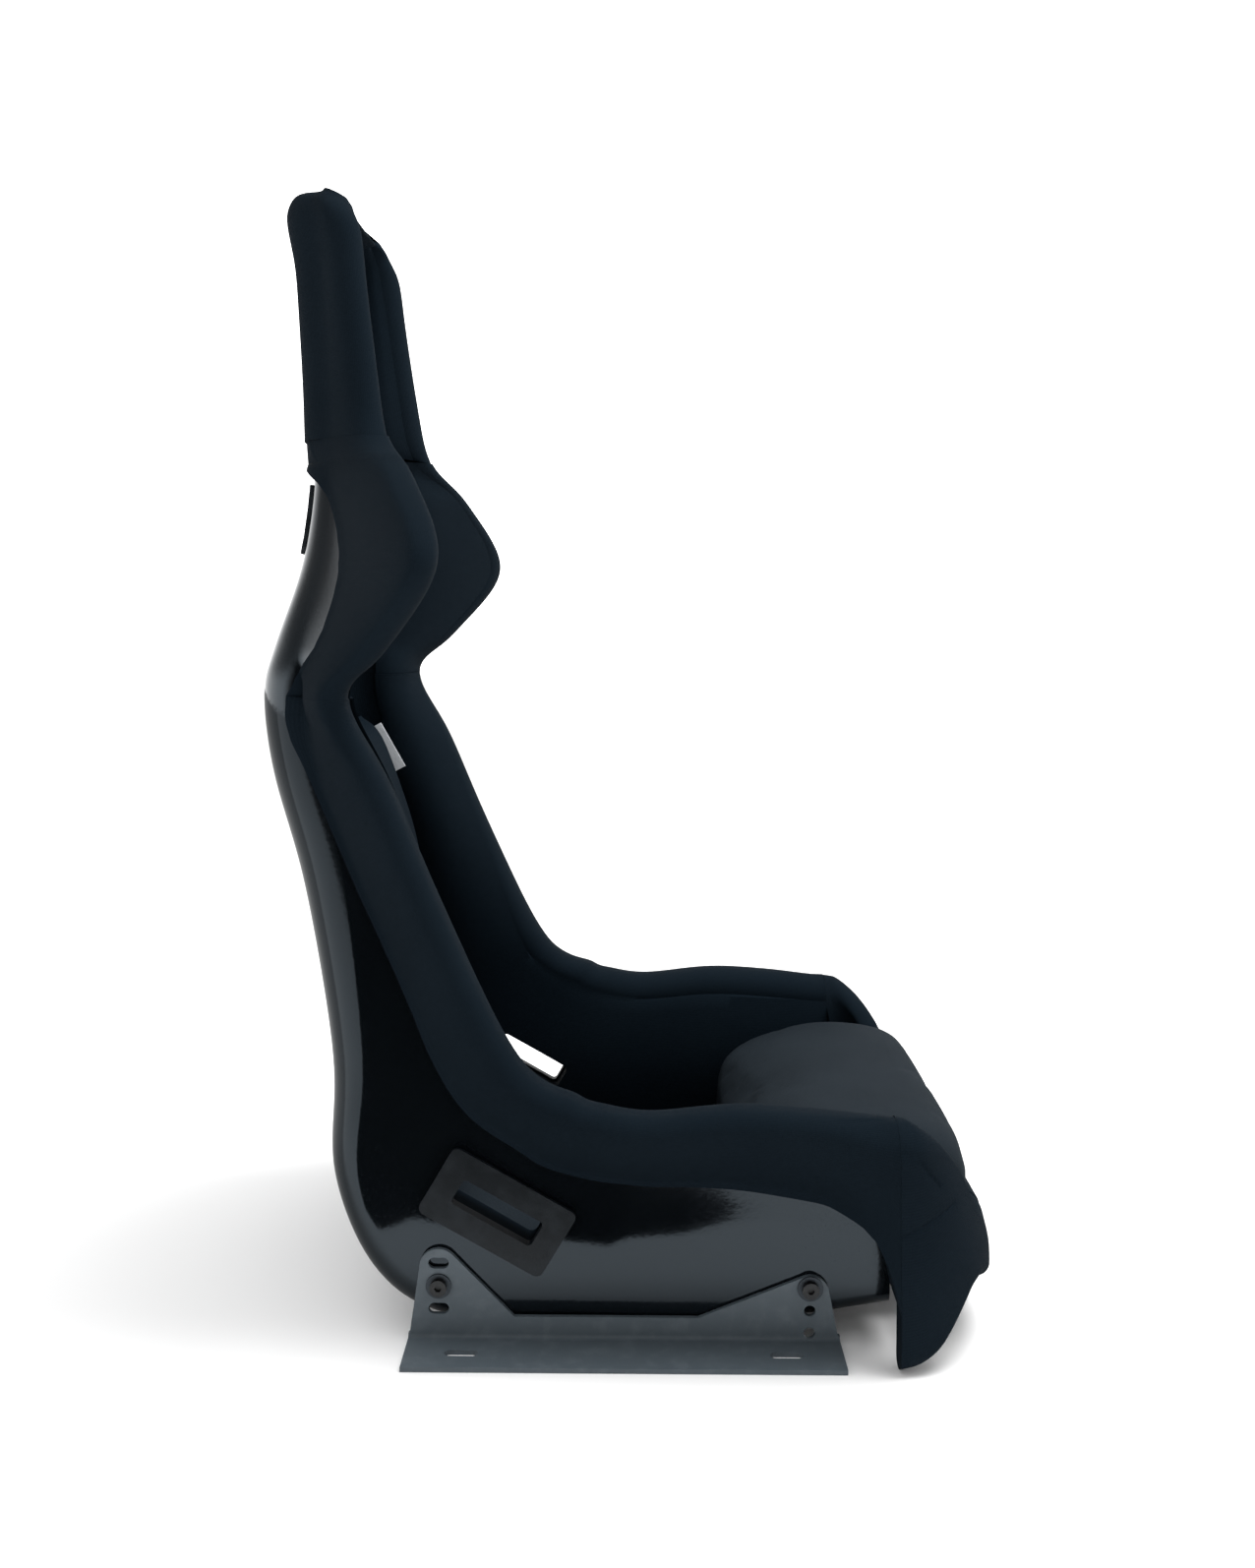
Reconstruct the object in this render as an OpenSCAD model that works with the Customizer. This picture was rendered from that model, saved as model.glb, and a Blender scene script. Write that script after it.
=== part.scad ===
// Fixed-back racing seat: a moulded shell with rolled rim, padded covers, loose cushions,
// harness slots and a pair of side-mount brackets. Forward is +X, the left side is +Y.
// The origin lies midway between the side-mount bolts, on the underside of the brackets.

/* [Shell] */
// Top edge of the shell above the mounting plane
shell_top = 893; // [886:1:898]
// Height of the neck under the head
neck_z = 702; // [696:1:708]
// Height of the tips of the shoulder wings
wing_z = 604; // [600:1:608]
// Height of the narrow waist under the wings
waist_z = 503; // [498:1:508]
// Front edge of the pan ahead of the middle of the side mounts
pan_front = 208; // [200:1:212]
// Half width of the shell's rim at the head
head_half = 98; // [90:1:104]
// Half width of the shell's rim at the neck
neck_half = 116; // [110:1:122]
// Half width of the shell's rim at the wing tips
wing_half = 262; // [250:1:270]
// Half width of the shell's rim at the waist
waist_half = 196; // [190:1:200]
// Half width of the shell's rim beside the thighs
rim_half = 214; // [210:1:220]
// Inside half width between the flat side walls of the pan
pan_half = 200; // [196:1:204]
// Height of the shell's head walls
head_wall = 31; // [28:1:34]
// Height of the shell's wing walls
wing_wall = 113; // [108:1:116]
// Height of the shell's waist walls
waist_wall = 62; // [58:1:66]
// Height of the shell's walls beside the thighs
thigh_wall = 158; // [150:1:164]
// Thickness of the moulded laminate
wall = 4; // [3:0.5:5]
// Radius of the rolled rim
rim_r = 9; // [8:0.5:10]

/* [Harness slots] */
// Length of a shoulder-belt slot
shoulder_slot_l = 72; // [64:1:76]
// Height of a shoulder-belt slot
shoulder_slot_h = 38; // [30:1:44]
// Height of the middle of the shoulder-belt slots
shoulder_slot_z = 640; // [632:1:648]
// Distance of the middle of a shoulder-belt slot from the centre plane
shoulder_slot_y = 64; // [60:1:66]
// Length of a lap-belt slot
lap_slot_l = 76; // [66:1:80]
// Height of a lap-belt slot
lap_slot_h = 27; // [22:1:30]
// Slope of a lap-belt slot, falling forwards
lap_slot_tilt = 30; // [25:1:35]
// Length of the crotch-strap slot across the pan
crotch_slot_l = 60; // [50:1:70]
// Width of the crotch-strap slot along the pan
crotch_slot_w = 16; // [14:1:18]
// Width of the moulded bezel round a slot
bezel_w = 17; // [14:1:19]
// Thickness of a bezel's face
bezel_t = 3; // [2:0.5:4]
// Wall of a bezel's sleeve
sleeve_t = 2; // [1.5:0.5:2.5]

/* [Covers and cushions] */
// Foam and cloth over the rolled rim
crest_pad = 12; // [10:0.5:13]
// Foam inside the walls of the side bolsters
bolster_pad = 25; // [20:1:26]
// Foam inside the walls of the shoulder wings
wing_pad = 22; // [16:1:24]
// Cloth band outside the rim
band_pad = 6; // [5:0.5:8]
// Width of the cloth band outside the rim
band_w = 56; // [48:1:60]
// Width of the cloth band outside the shoulder wings
wing_band_w = 104; // [90:2:108]
// Thickness of the head cover's foam
head_pad = 12; // [10:0.5:14]
// Thickness of the back pad
back_pad_t = 20; // [16:1:24]
// Thickness of the lumbar cushion at its thickest
lumbar_t = 46; // [38:1:50]
// Height of the top edge of the lumbar cushion
lumbar_top = 463; // [455:1:468]
// Thickness of the pan pad
pan_pad_t = 66; // [60:1:68]
// Crown of the thigh cushion above the mounting plane
thigh_top = 157; // [150:1:160]
// Half width of the thigh cushion
thigh_half = 173; // [166:1:174]
// Rear face of the thigh cushion
thigh_rear = 90; // [86:1:94]
// Front face of the seat ahead of the middle of the side mounts
nose_x = 297; // [288:1:300]
// Thickness of the padded nose and lobes
nose_pad = 24; // [20:1:28]
// Thickness of a lobe where it meets the side bolster
lobe_deep = 52; // [46:1:54]
// Half width over the tips of the front lobes
lobe_half = 262; // [255:1:266]
// Height of the lobe tips above the mounting plane
lobe_z = 2.5; // [2:0.5:6]
// Thickness of a hook-and-loop strip
strip_t = 2; // [1.5:0.5:3]
// Gap between a soft piece and what it seats on
seat_gap = 0.4; // [0.3:0.1:0.6]

/* [Side mounts] */
// Distance between the front and rear side-mount bolts
bolt_span = 290; // [280:5:300]
// Height of the side-mount bolts
bolt_z = 46; // [44:1:48]
// Nominal diameter of the side-mount bolts
bolt_d = 8; // [6:1:8]
// Clearance of the bracket holes round the bolts, on the diameter
bolt_play = 1; // [0.6:0.1:1.4]
// Vertical pitch of the adjusting holes
hole_pitch = 18.5; // [17:0.5:19]
// Length of the rear adjusting slots
slot_l = 16; // [13:1:18]
// Thickness of the bracket steel
steel = 4; // [3:0.5:5]
// Width of the bracket's foot
foot_w = 52; // [44:1:56]
// Length of the bracket's foot
foot_l = 338; // [330:1:344]
// Height of the rear ear's top
ear_z = 76; // [72:1:80]
// Height of the bracket between its ears
saddle_z = 21; // [16:1:26]
// Distance between the foot slots along the bracket
foot_span = 250; // [240:5:260]
// Length of a foot slot
foot_slot_l = 26; // [20:1:30]
// Diameter of the washers
washer_d = 20; // [18:1:22]
// Thickness of the washers
washer_t = 1.6; // [1:0.2:2.4]
// Thickness of the steel insert plates bonded in the shell
insert_t = 5; // [4:0.5:6]
// Diameter of the insert plates
insert_d = 28; // [26:1:28]

/* [Hidden] */
gel = [0.07, 0.08, 0.09];
knit = [0.10, 0.11, 0.12];
charcoal = [0.22, 0.24, 0.26];
steel_black = [0.20, 0.22, 0.24];
zinc = [0.55, 0.56, 0.58];

// ---- Form of the shell ----
// One key section a row: forward place and height of the floor line, turn of the walls from
// forward, height of the walls, half width of the floor, half width of the rim, corner radius,
// dish of the floor and the share of the wall below its flare.
rear_x = -295;
floor_z = 11;
key = [
  [-246, shell_top + 4, -22, 5, head_half - 30, head_half - 26, 3, 0, 0],
  [-258, shell_top - 5, -14, 20, head_half - 16, head_half - 12, 16, 2, 0],
  [-265, shell_top - 26, -6, head_wall + 2, head_half - 8, head_half - 4, 18, 4, 0],
  [-264, (shell_top + neck_z) / 2 + 24, 0, head_wall + 6, head_half - 5, head_half, 20, 5, 0],
  [-260, neck_z + 46, 0, head_wall + 13, head_half - 1, head_half + 6, 20, 5, 0],
  [-259, neck_z, 0, head_wall + 20, neck_half - 10, neck_half, 22, 6, 0],
  [-260, neck_z - 34, 0, head_wall + 47, neck_half + 12, neck_half + 68, 34, 10, 0],
  [-268, wing_z, 0, wing_wall, wing_half - 104, wing_half, 46, 11, 0],
  [-288, wing_z - 64, 0, (wing_wall + waist_wall) / 2 + 1, waist_half - 30, (wing_half + waist_half) / 2 - 10, 44, 10, 0],
  [rear_x, waist_z, 0, waist_wall, waist_half - 31, waist_half, 38, 9, 0.1],
  [rear_x + 7, waist_z - 63, 0, waist_wall + 24, waist_half - 26, waist_half, 40, 9, 0.15],
  [rear_x + 32, 350, 0, waist_wall + 37, pan_half - 20, waist_half + 2, 38, 10, 0.25],
  [-236, 215, 12, thigh_wall - 32, pan_half - 6, rim_half - 11, 32, 12, 0.35],
  [-237, 125, 27, thigh_wall + 13, pan_half, rim_half - 6, 26, 10, 0.4],
  [-214, 44, 43, thigh_wall + 50, pan_half, rim_half - 2, 20, 5, 0.45],
  [-150, floor_z - 2, 56, thigh_wall + 44, pan_half, rim_half - 1, 18, 0, 0.5],
  [-40, floor_z, 72.5, thigh_wall + 7, pan_half, rim_half, 18, 0, 0.5],
  [90, floor_z + 4, 86.5, thigh_wall + 2, pan_half, rim_half + 2, 12, 0, 0.5],
  [pan_front, 34, 91, thigh_wall - 21, pan_half, rim_half + 4, 8, 0, 0.45]];
last_u = len(key) - 1;
// Where the covers meet, counted in key sections
neck_u = 5;
waist_u = 9;
per_key = 3;
floor_n = 2;
corner_n = 3;
wall_n = 3;
rim_n = 4;

function mix(a, b, t) = a + (b - a) * t;
function clamp(v, low, high) = min(max(v, low), high);
function ease(t) = let (c = clamp(t, 0, 1)) c * c * (3 - 2 * c);
function cubic(a, b, c, d, t) =
  0.5 * (2 * b + (c - a) * t + (2 * a - 5 * b + 4 * c - d) * t * t + (3 * b - a - 3 * c + d) * t * t * t);

// A section of the shell at any place u between the key sections
function section(u) =
  let (k = clamp(floor(u), 0, last_u - 1))
  cubic(key[max(k - 1, 0)], key[k], key[k + 1], key[min(k + 2, last_u)], u - k);
function places(from, to) = [for (i = [round(from * per_key):round(to * per_key)]) i / per_key];

// Half of the inner profile as [out, up] points: floor, corner, wall, then the rolled rim
function floor_end(s) = s[4] - min(s[6], s[3] * 0.8);
function lean(s) = s[8] > 0 ? 0 : atan2(s[5] - s[4], s[3]) * 0.8;
function corner_c(s) =
  let (r = min(s[6], s[3] * 0.8))
  let (slope = atan(2 * s[7] / floor_end(s)))
  [floor_end(s) - r * sin(slope), s[7] + r * cos(slope)];
function corner_at(s, a) = corner_c(s) + min(s[6], s[3] * 0.8) * [cos(a), sin(a)];
function wall_at(s, t) =
  let (foot = corner_at(s, -lean(s)))
  let (bend = max(0, (t - s[8]) / (1 - s[8])))
  [foot[0] + (s[5] - foot[0]) * pow(bend, s[8] > 0 ? 1.9 : 1.2), mix(foot[1], s[3], t)];
function half_inner(s) = concat(
  [for (i = [0:floor_n]) let (y = floor_end(s) * i / floor_n) [y, s[7] * pow(y / floor_end(s), 2)]],
  [for (i = [1:corner_n])
    corner_at(s, mix(atan(2 * s[7] / floor_end(s)) - 90, -lean(s), i / corner_n))],
  [for (i = [1:wall_n]) wall_at(s, i / wall_n)],
  [for (i = [1:rim_n]) [s[5] + rim_r - rim_r * cos(180 * i / rim_n * 0.94), s[3] + rim_r * sin(180 * i / rim_n * 0.94)]]);
wall_i = floor_n + corner_n;
rim_i = wall_i + wall_n;
half_n = rim_i + rim_n;

// Unit normals of a profile, pointing to the sitter
function turn(v) = [-v[1], v[0]] / norm(v);
function normals(p) = [for (i = [0:len(p) - 1])
  i == 0 ? [0, 1] : turn(p[min(i + 1, len(p) - 1)] - p[i - 1])];
function offset_by(p, d) = let (n = normals(p)) [for (i = [0:len(p) - 1]) p[i] + d * n[i]];
function place(s, p) = [s[0] + p[1] * cos(s[2]), p[0], s[1] + p[1] * sin(s[2])];
function flip(p) = [for (q = p) [-q[0], q[1]]];
function reverse(p) = [for (i = [len(p) - 1:-1:0]) p[i]];
function both_sides(p) = concat(reverse(flip(p)), [for (i = [1:len(p) - 1]) p[i]]);

// A closed wall between two matching rows of lines, a outside and b inside. Its facets mirror
// each other about the centre plane where the lines run across the seat.
module loft(a, b, across = false) {
  n = len(a);
  m = len(a[0]);
  o = n * m;
  e = m - 1;
  l = (n - 1) * m;
  points = concat([for (line = a) each line], [for (line = b) each line]);
  skin = [for (k = [0:n - 2], i = [0:m - 2]) let (p = k * m + i, q = p + m, r = o + p, s = o + q)
    each (across && i < e / 2 ?
      [[p, q, p + 1], [q, q + 1, p + 1], [r, r + 1, s], [s, r + 1, s + 1]] :
      [[p, q + 1, p + 1], [p, q, q + 1], [r, r + 1, s + 1], [r, s + 1, s]])];
  edges = [for (k = [0:n - 2]) let (p = k * m, q = p + m) each [
    [p, o + q, q], [p, o + p, o + q], [q + e, o + p + e, p + e], [q + e, o + q + e, o + p + e]]];
  caps = [for (i = [0:m - 2]) each [
    [i, o + i + 1, o + i], [i, i + 1, o + i + 1],
    [l + i, o + l + i + 1, l + i + 1], [l + i, o + l + i, o + l + i + 1]]];
  polyhedron(points, concat(skin, edges, caps), convexity = 10);
}

// The laminate between two places, its faces moved out by the given gaps
module laminate(from, to, inner = 0, outer = 0) {
  sections = [for (u = places(from, to)) section(u)];
  loft(
    [for (s = sections) [for (p = both_sides(offset_by(half_inner(s), -wall - outer))) place(s, p)]],
    [for (s = sections) [for (p = both_sides(offset_by(half_inner(s), inner))) place(s, p)]], true);
}

// ---- Placing ----
slot_corner = 6;
through = 60;
lap_lean = 2;
lap_x = -99;
lap_z = 106;
pan_pad_end = thigh_rear - crotch_slot_w - 2;
crotch_x = (thigh_rear + pan_pad_end) / 2;
shoulder_u = neck_u + 1.5;
wall_y = pan_half + wall + seat_gap;

// What is drawn for the left side, or its mirror image
module on_side(side) {
  mirror([0, side < 0 ? 1 : 0, 0]) children();
}
module on_shoulder() {
  translate([section(shoulder_u)[0], shoulder_slot_y, shoulder_slot_z]) rotate([0, 90, 0]) rotate(90)
    children();
}
module on_lap() {
  translate([lap_x, pan_half, lap_z]) rotate([0, lap_slot_tilt, 0]) rotate([-90 - lap_lean, 0, 0]) children();
}
module on_crotch() {
  translate([crotch_x, 0, floor_z]) rotate(90) children();
}
module on_bolts() {
  for (x = [-1, 1]) translate([x * bolt_span / 2, 0, bolt_z]) rotate([-90, 0, 0]) children();
}

module rounded(l, h, r) {
  square([l - 2 * r, h], center = true);
  square([l, h - 2 * r], center = true);
  for (x = [-1, 1], y = [-1, 1]) translate([x * (l / 2 - r), y * (h / 2 - r)]) circle(r, $fn = 24);
}
module slotted(l, d) {
  square([l - d, d], center = true);
  for (x = [-1, 1]) translate([x * (l - d) / 2, 0]) circle(d = d, $fn = 32);
}
// A rounded bar from one height to another, moved in from the slot by a gap
module slot_bar(l, h, low, high, gap = 0) {
  translate([0, 0, low]) linear_extrude(high - low)
    rounded(l - 2 * gap, h - 2 * gap, slot_corner - min(gap, slot_corner - 1));
}

// ---- Shell ----
module shell() {
  color(gel) difference() {
    laminate(0, last_u);
    for (side = [-1, 1]) on_side(side) {
      on_shoulder() slot_bar(shoulder_slot_l, shoulder_slot_h, -through / 2, through / 2);
      on_lap() slot_bar(lap_slot_l, lap_slot_h, -through / 2, through / 2);
      on_bolts() translate([0, 0, pan_half - wall]) cylinder(d = bolt_d + bolt_play, h = wall * 4, $fn = 24);
    }
    on_crotch() slot_bar(crotch_slot_l, crotch_slot_w, -through / 2, through / 2);
  }
}

// ---- Side mounts ----
// Steel plates bonded behind the side walls, each with a threaded boss
module mount_inserts() {
  color(zinc) for (side = [-1, 1]) on_side(side) on_bolts() translate([0, 0, pan_half - seat_gap])
    difference() {
      union() {
        translate([0, 0, -insert_t / 2]) cylinder(d = insert_d, h = insert_t / 2, $fn = 48);
        translate([0, 0, -insert_t - bolt_d]) cylinder(d = bolt_d * 1.75, h = insert_t + bolt_d, $fn = 48);
      }
      translate([0, 0, -insert_t - bolt_d - 1]) cylinder(d = bolt_d + 0.1, h = insert_t + bolt_d + 2, $fn = 48);
    }
}

ear_r = 15;
front_ear_z = ear_z - 20;
bend_r = 7;
foot_hole_d = 9;
foot_mid = (foot_w + bend_r) / 2;

// The bracket's upright with its two ears and the saddle between them
module upright() {
  rear = bolt_span / 2;
  rotate([90, 0, 0]) linear_extrude(steel)
    polygon([[-foot_l / 2, 0], [-rear - ear_r, ear_z - ear_r], [-rear, ear_z - ear_r],
      [-rear + ear_r * 0.72, ear_z - ear_r * 0.3], [-rear + 59, saddle_z], [rear - 87, saddle_z],
      [rear - ear_r * 0.3, front_ear_z - ear_r * 0.05], [rear, front_ear_z - ear_r],
      [rear + ear_r * 0.98, front_ear_z - ear_r * 0.8], [foot_l / 2, 0]]);
  for (ear = [[-rear, ear_z], [rear, front_ear_z]])
    translate([ear[0], -steel, ear[1] - ear_r]) rotate([-90, 0, 0]) cylinder(r = ear_r, h = steel, $fn = 64);
}
module bent_foot() {
  translate([-foot_l / 2, 0, 0]) cube([foot_l, foot_w, steel]);
  translate([-foot_l / 2, 0, 0]) difference() {
    cube([foot_l, bend_r, bend_r]);
    translate([-1, bend_r, bend_r]) rotate([0, 90, 0]) cylinder(r = bend_r - steel, h = foot_l + 2, $fn = 48);
  }
}

module bracket() {
  color(steel_black) difference() {
    union() {
      translate([0, wall_y + steel, 0]) upright();
      translate([0, wall_y, 0]) bent_foot();
    }
    for (i = [0:2]) translate([0, wall_y - 1, bolt_z]) rotate([-90, 0, 0]) {
      translate([-bolt_span / 2, hole_pitch * (i - 1), 0]) linear_extrude(steel + 2)
        slotted(slot_l, bolt_d + bolt_play);
      translate([bolt_span / 2, hole_pitch * i, 0]) cylinder(d = bolt_d + bolt_play, h = steel + 2, $fn = 32);
    }
    for (x = [-1, 1]) translate([x * foot_span / 2, wall_y + foot_mid, -1]) linear_extrude(steel + 2)
      slotted(foot_slot_l, foot_hole_d);
  }
}

washer_y = wall_y + steel;
head_d = bolt_d * 1.65;
head_h = bolt_d * 0.55;
module mount_washers() {
  color(zinc) for (side = [-1, 1]) on_side(side) on_bolts() translate([0, 0, washer_y])
    difference() {
      cylinder(d = washer_d, h = washer_t, $fn = 48);
      translate([0, 0, -1]) cylinder(d = bolt_d + bolt_play, h = washer_t + 2, $fn = 48);
    }
}
module mount_bolts() {
  color(steel_black) for (side = [-1, 1]) on_side(side) on_bolts() difference() {
    union() {
      translate([0, 0, washer_y + washer_t]) cylinder(d = head_d, h = head_h, $fn = 48);
      translate([0, 0, pan_half - insert_t - 3]) cylinder(d = bolt_d, h = washer_y + washer_t - pan_half + insert_t + 4, $fn = 48);
    }
    translate([0, 0, washer_y + washer_t + head_h * 0.4]) cylinder(d = bolt_d * 0.7, h = head_h, $fn = 6);
  }
}

// ---- Slot bezels ----
module flat_bezel(l, h, seat, sleeve) {
  difference() {
    union() {
      slot_bar(l + 2 * bezel_w, h + 2 * bezel_w, seat, seat + bezel_t);
      slot_bar(l, h, -sleeve, seat + bezel_t, seat_gap);
    }
    slot_bar(l, h, -through, through, seat_gap + sleeve_t);
  }
}
// A bezel for the back of the shell follows its form
module back_layer(low, high) {
  sections = [for (u = places(neck_u, neck_u + 3)) section(u)];
  steps = [for (i = [-1:3]) i / 3];
  loft(
    [for (s = sections) [for (t = steps) place(s, floor_at(s, t * floor_end(s)) + [0, low])]],
    [for (s = sections) [for (t = steps) place(s, floor_at(s, t * floor_end(s)) + [0, high])]]);
}
module shoulder_bezel() {
  color(gel) difference() {
    union() {
      intersection() {
        back_layer(-wall - seat_gap - bezel_t, -wall - seat_gap);
        on_shoulder() slot_bar(shoulder_slot_l + bezel_w, shoulder_slot_h + bezel_w, -through, through);
      }
      intersection() {
        back_layer(-wall - seat_gap - bezel_t, 1);
        on_shoulder() slot_bar(shoulder_slot_l, shoulder_slot_h, -through, through, seat_gap);
      }
    }
    on_shoulder() slot_bar(shoulder_slot_l, shoulder_slot_h, -through, through, seat_gap + sleeve_t);
  }
}
module lap_bezel() {
  color(gel) on_lap() flat_bezel(lap_slot_l, lap_slot_h, wall + 2 * slack, 0);
}
module crotch_bezel() {
  color(gel) on_crotch() mirror([0, 0, 1])
    flat_bezel(crotch_slot_l - 2 * bezel_t, crotch_slot_w, wall + seat_gap, wall);
}

// ---- Covers over the rim ----
join_gap = 0.006;
slack = 2.5 * seat_gap;
cover_foot = 4;
wrap_pad = 5;
crown_pad = 14;
rim_sweep = 180 * 0.94;
band_n = 2;
function foam_at(a, foam) =
  a > 90 ? mix(crest_pad, foam, ease((a - 90) / 90)) : mix(band_pad, crest_pad, ease(a / 90));
function rim_angle(i) = 180 - rim_sweep * i / rim_n;
function band_t(s, w) = clamp(1 - (w - rim_r) / norm(wall_at(s, 1) - wall_at(s, 0)), 0.02, 0.9);
function wall_back(s, t, gap) =
  let (p = offset_by(half_inner(s), -wall - gap), i = wall_i + min(floor(t * wall_n), wall_n - 1))
  mix(p[i], p[i + 1], t * wall_n - i + wall_i);
// The cloth band outside the wall, from the rim to its edge: on the wall, and drawn taut over it
function band(s, w) = [for (i = [1:band_n]) wall_back(s, mix(1, band_t(s, w), i / band_n), 3.6 * slack)];
function taut(a, b) = [for (i = [1:band_n]) mix(a, b, i / band_n) - 3 * sin(180 * i / band_n) * turn(a - b)];

// The two faces of a cover over the rim, from the place in the profile where its foam starts
function shell_face(s, first) = let (p = offset_by(half_inner(s), seat_gap))
  [for (i = [first:half_n]) i == half_n ? p[i] + slack * [1.2, -1.5] : p[i]];
function cloth_face(s, first, foot, foam) = let (p = half_inner(s)) let (n = normals(p)) concat(
  [for (i = [first:rim_i - 1])
    p[i] + (seat_gap + mix(foot, foam, ease((i - max(first, floor_n + 1) + 0.6) / (rim_i - floor_n - 2)))) * n[i]],
  [for (i = [0:rim_n]) let (a = rim_angle(i))
    [s[5] + rim_r, s[3]] + (rim_r + seat_gap + foam_at(a, foam)) * [cos(a), sin(a)]]);
function last(p) = p[len(p) - 1];
function cloth(s, first, foot, foam, edge) =
  let (face = cloth_face(s, first, foot, foam)) concat(face, taut(last(face), edge));
// Cloth on the back of the head: all over at the top, drawn back to the corners further down
function back_edge(s, u) = mix(seat_gap, floor_end(s) * 0.8, ease((u - 1.6) / 1.4));
function wrap(s, u, gap) = concat([for (i = [1:2]) offset_by(half_inner(s), -wall - gap)[wall_i - i]],
  [for (k = [0:2]) floor_at(s, mix(floor_end(s), back_edge(s, u), k / 2)) - [0, wall + gap]]);

module cover(from, to, foam, widths) {
  sections = [for (u = places(from, to)) section(u == from ? u + join_gap : u)];
  first = floor_n + 1;
  loft(
    [for (s = sections) [for (p = concat(shell_face(s, first), band(s, lookup(s[1], widths)))) place(s, p)]],
    [for (s = sections) let (edge = wall_back(s, band_t(s, lookup(s[1], widths)), seat_gap + band_pad))
      [for (p = cloth(s, first, cover_foot, foam, edge)) place(s, p)]]);
}
module wing_cover() {
  color(knit) cover(neck_u, waist_u, wing_pad, [[waist_z, band_w], [waist_z + 40, wing_band_w], [neck_z, wing_band_w]]);
}
// The bolster leaves room for the lap-belt slot and for the mounts inside the wall
module side_bolster() {
  color(knit) difference() {
    cover(waist_u, last_u, bolster_pad, [[0, band_w], [waist_z, band_w]]);
    on_lap() slot_bar(lap_slot_l, lap_slot_h, -through, wall / 2);
    on_bolts() translate([0, 0, pan_half - through]) cylinder(d = insert_d + 1, h = through, $fn = 48);
  }
}
// The head's cover lines its hollow, wraps its rim and turns over its top
brow_line = [[0, 24], [0.5, 24], [1.7, head_pad / 2], [neck_u, head_pad / 2]];
crown_line = [[0, crown_pad / 3], [0.7, crown_pad], [1.6, crown_pad], [2.4, wrap_pad], [neck_u, wrap_pad]];
module head_cover() {
  stations = places(0, neck_u);
  color(knit) loft(
    [for (u = stations) let (s = section(u))
      [for (p = both_sides(concat(shell_face(s, 0), band(s, head_half), wrap(s, u, seat_gap)))) place(s, p)]],
    [for (u = stations) let (s = section(u), pad = seat_gap + lookup(u, crown_line))
      [for (p = both_sides(concat(cloth(s, 0, lookup(u, brow_line), head_pad, wall_back(s, band_t(s, head_half), pad)),
        wrap(s, u, pad)))) place(s, p)]], true);
}

// ---- Pads laid in the shell ----
function span(from, to) = concat([from],
  [for (i = [ceil(from * per_key + 0.3):floor(to * per_key - 0.3)]) i / per_key], [to]);
function bulge(t, sharp) = 1 - pow(abs(t), sharp);
function floor_at(s, y) = [y, s[7] * pow(y / floor_end(s), 2)];
// Crown of a pad over its length and its width, both from -1 to 1
function crown(along, across) = 0.35 + 0.65 * bulge(along, 4) * bulge(across, 4);
pad_lines = 3;
across_steps = [for (i = [-pad_lines:pad_lines]) let (t = i / pad_lines) t * (1.35 - 0.35 * abs(t))];

// Height of a pad's face over the floor at a section, as points across the shell
function pad_face(s, half, low, rise, along) =
  [for (t = across_steps) place(s, floor_at(s, t * half) + [0, low + rise * crown(along, t)])];
module floor_pad(from, to, inset, low, rise, base_rise = 0) {
  stations = span(from, to);
  along = [for (u = stations) 2 * (u - from) / (to - from) - 1];
  sections = [for (u = stations) section(u)];
  loft(
    [for (i = [0:len(sections) - 1])
      pad_face(sections[i], floor_end(sections[i]) - inset, low, base_rise, 0)],
    [for (i = [0:len(sections) - 1])
      pad_face(sections[i], floor_end(sections[i]) - inset, low, base_rise + rise, along[i])], true);
}

head_cushion_t = 14;
head_cushion_inset = 14;
module head_cushion() {
  low = 2 * seat_gap + head_pad / 2;
  color(charcoal) floor_pad(2.4, neck_u - 0.4, head_cushion_inset, low, head_cushion_t);
}
back_from = neck_u + 2;
back_to = 13 + 1 / per_key;
pad_inset = 4;
module back_pad() {
  color(knit) floor_pad(back_from, back_to, pad_inset, slack, back_pad_t);
}
pan_from = 14.4;
pan_key = 16;
pan_lean = 10;
pan_to = pan_key + (pan_pad_end - pan_lean - key[pan_key][0]) / (key[pan_key + 1][0] - key[pan_key][0]);
module pan_pad() {
  color(charcoal) floor_pad(pan_from, pan_to, 7, slack, pan_pad_t);
}
lumbar_from = waist_u + (waist_z - lumbar_top) / (key[waist_u][1] - key[waist_u + 1][1]);
lumbar_to = 11.6;
lumbar_inset = 8;
lumbar_low = back_pad_t + slack + 2 * seat_gap + strip_t;
module lumbar_cushion() {
  color(knit) floor_pad(lumbar_from, lumbar_to, lumbar_inset, lumbar_low, lumbar_t);
}
// Hook strips under the lumbar cushion, across the back pad
module lumbar_strips() {
  half = 70;
  color(charcoal) for (u = [10.3, 11]) {
    sections = [for (v = [u, u + 0.25]) section(v)];
    loft(
      [for (s = sections) [for (t = across_steps) place(s, floor_at(s, t * half) + [0, lumbar_low - strip_t])]],
      [for (s = sections) [for (t = across_steps) place(s, floor_at(s, t * half) + [0, lumbar_low - 0.05])]]);
  }
}

// ---- Thigh cushion and nose ----
nose_top = 104;
nose_low = 34;
nose_arch = 14;
nose_half = 150;
front_gap = pan_front + seat_gap;
cushion_low = seat_gap + strip_t;
front_floor = [for (u = [last_u - 0.98, last_u - 0.67, last_u - 0.33, last_u]) section(u)];
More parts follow.
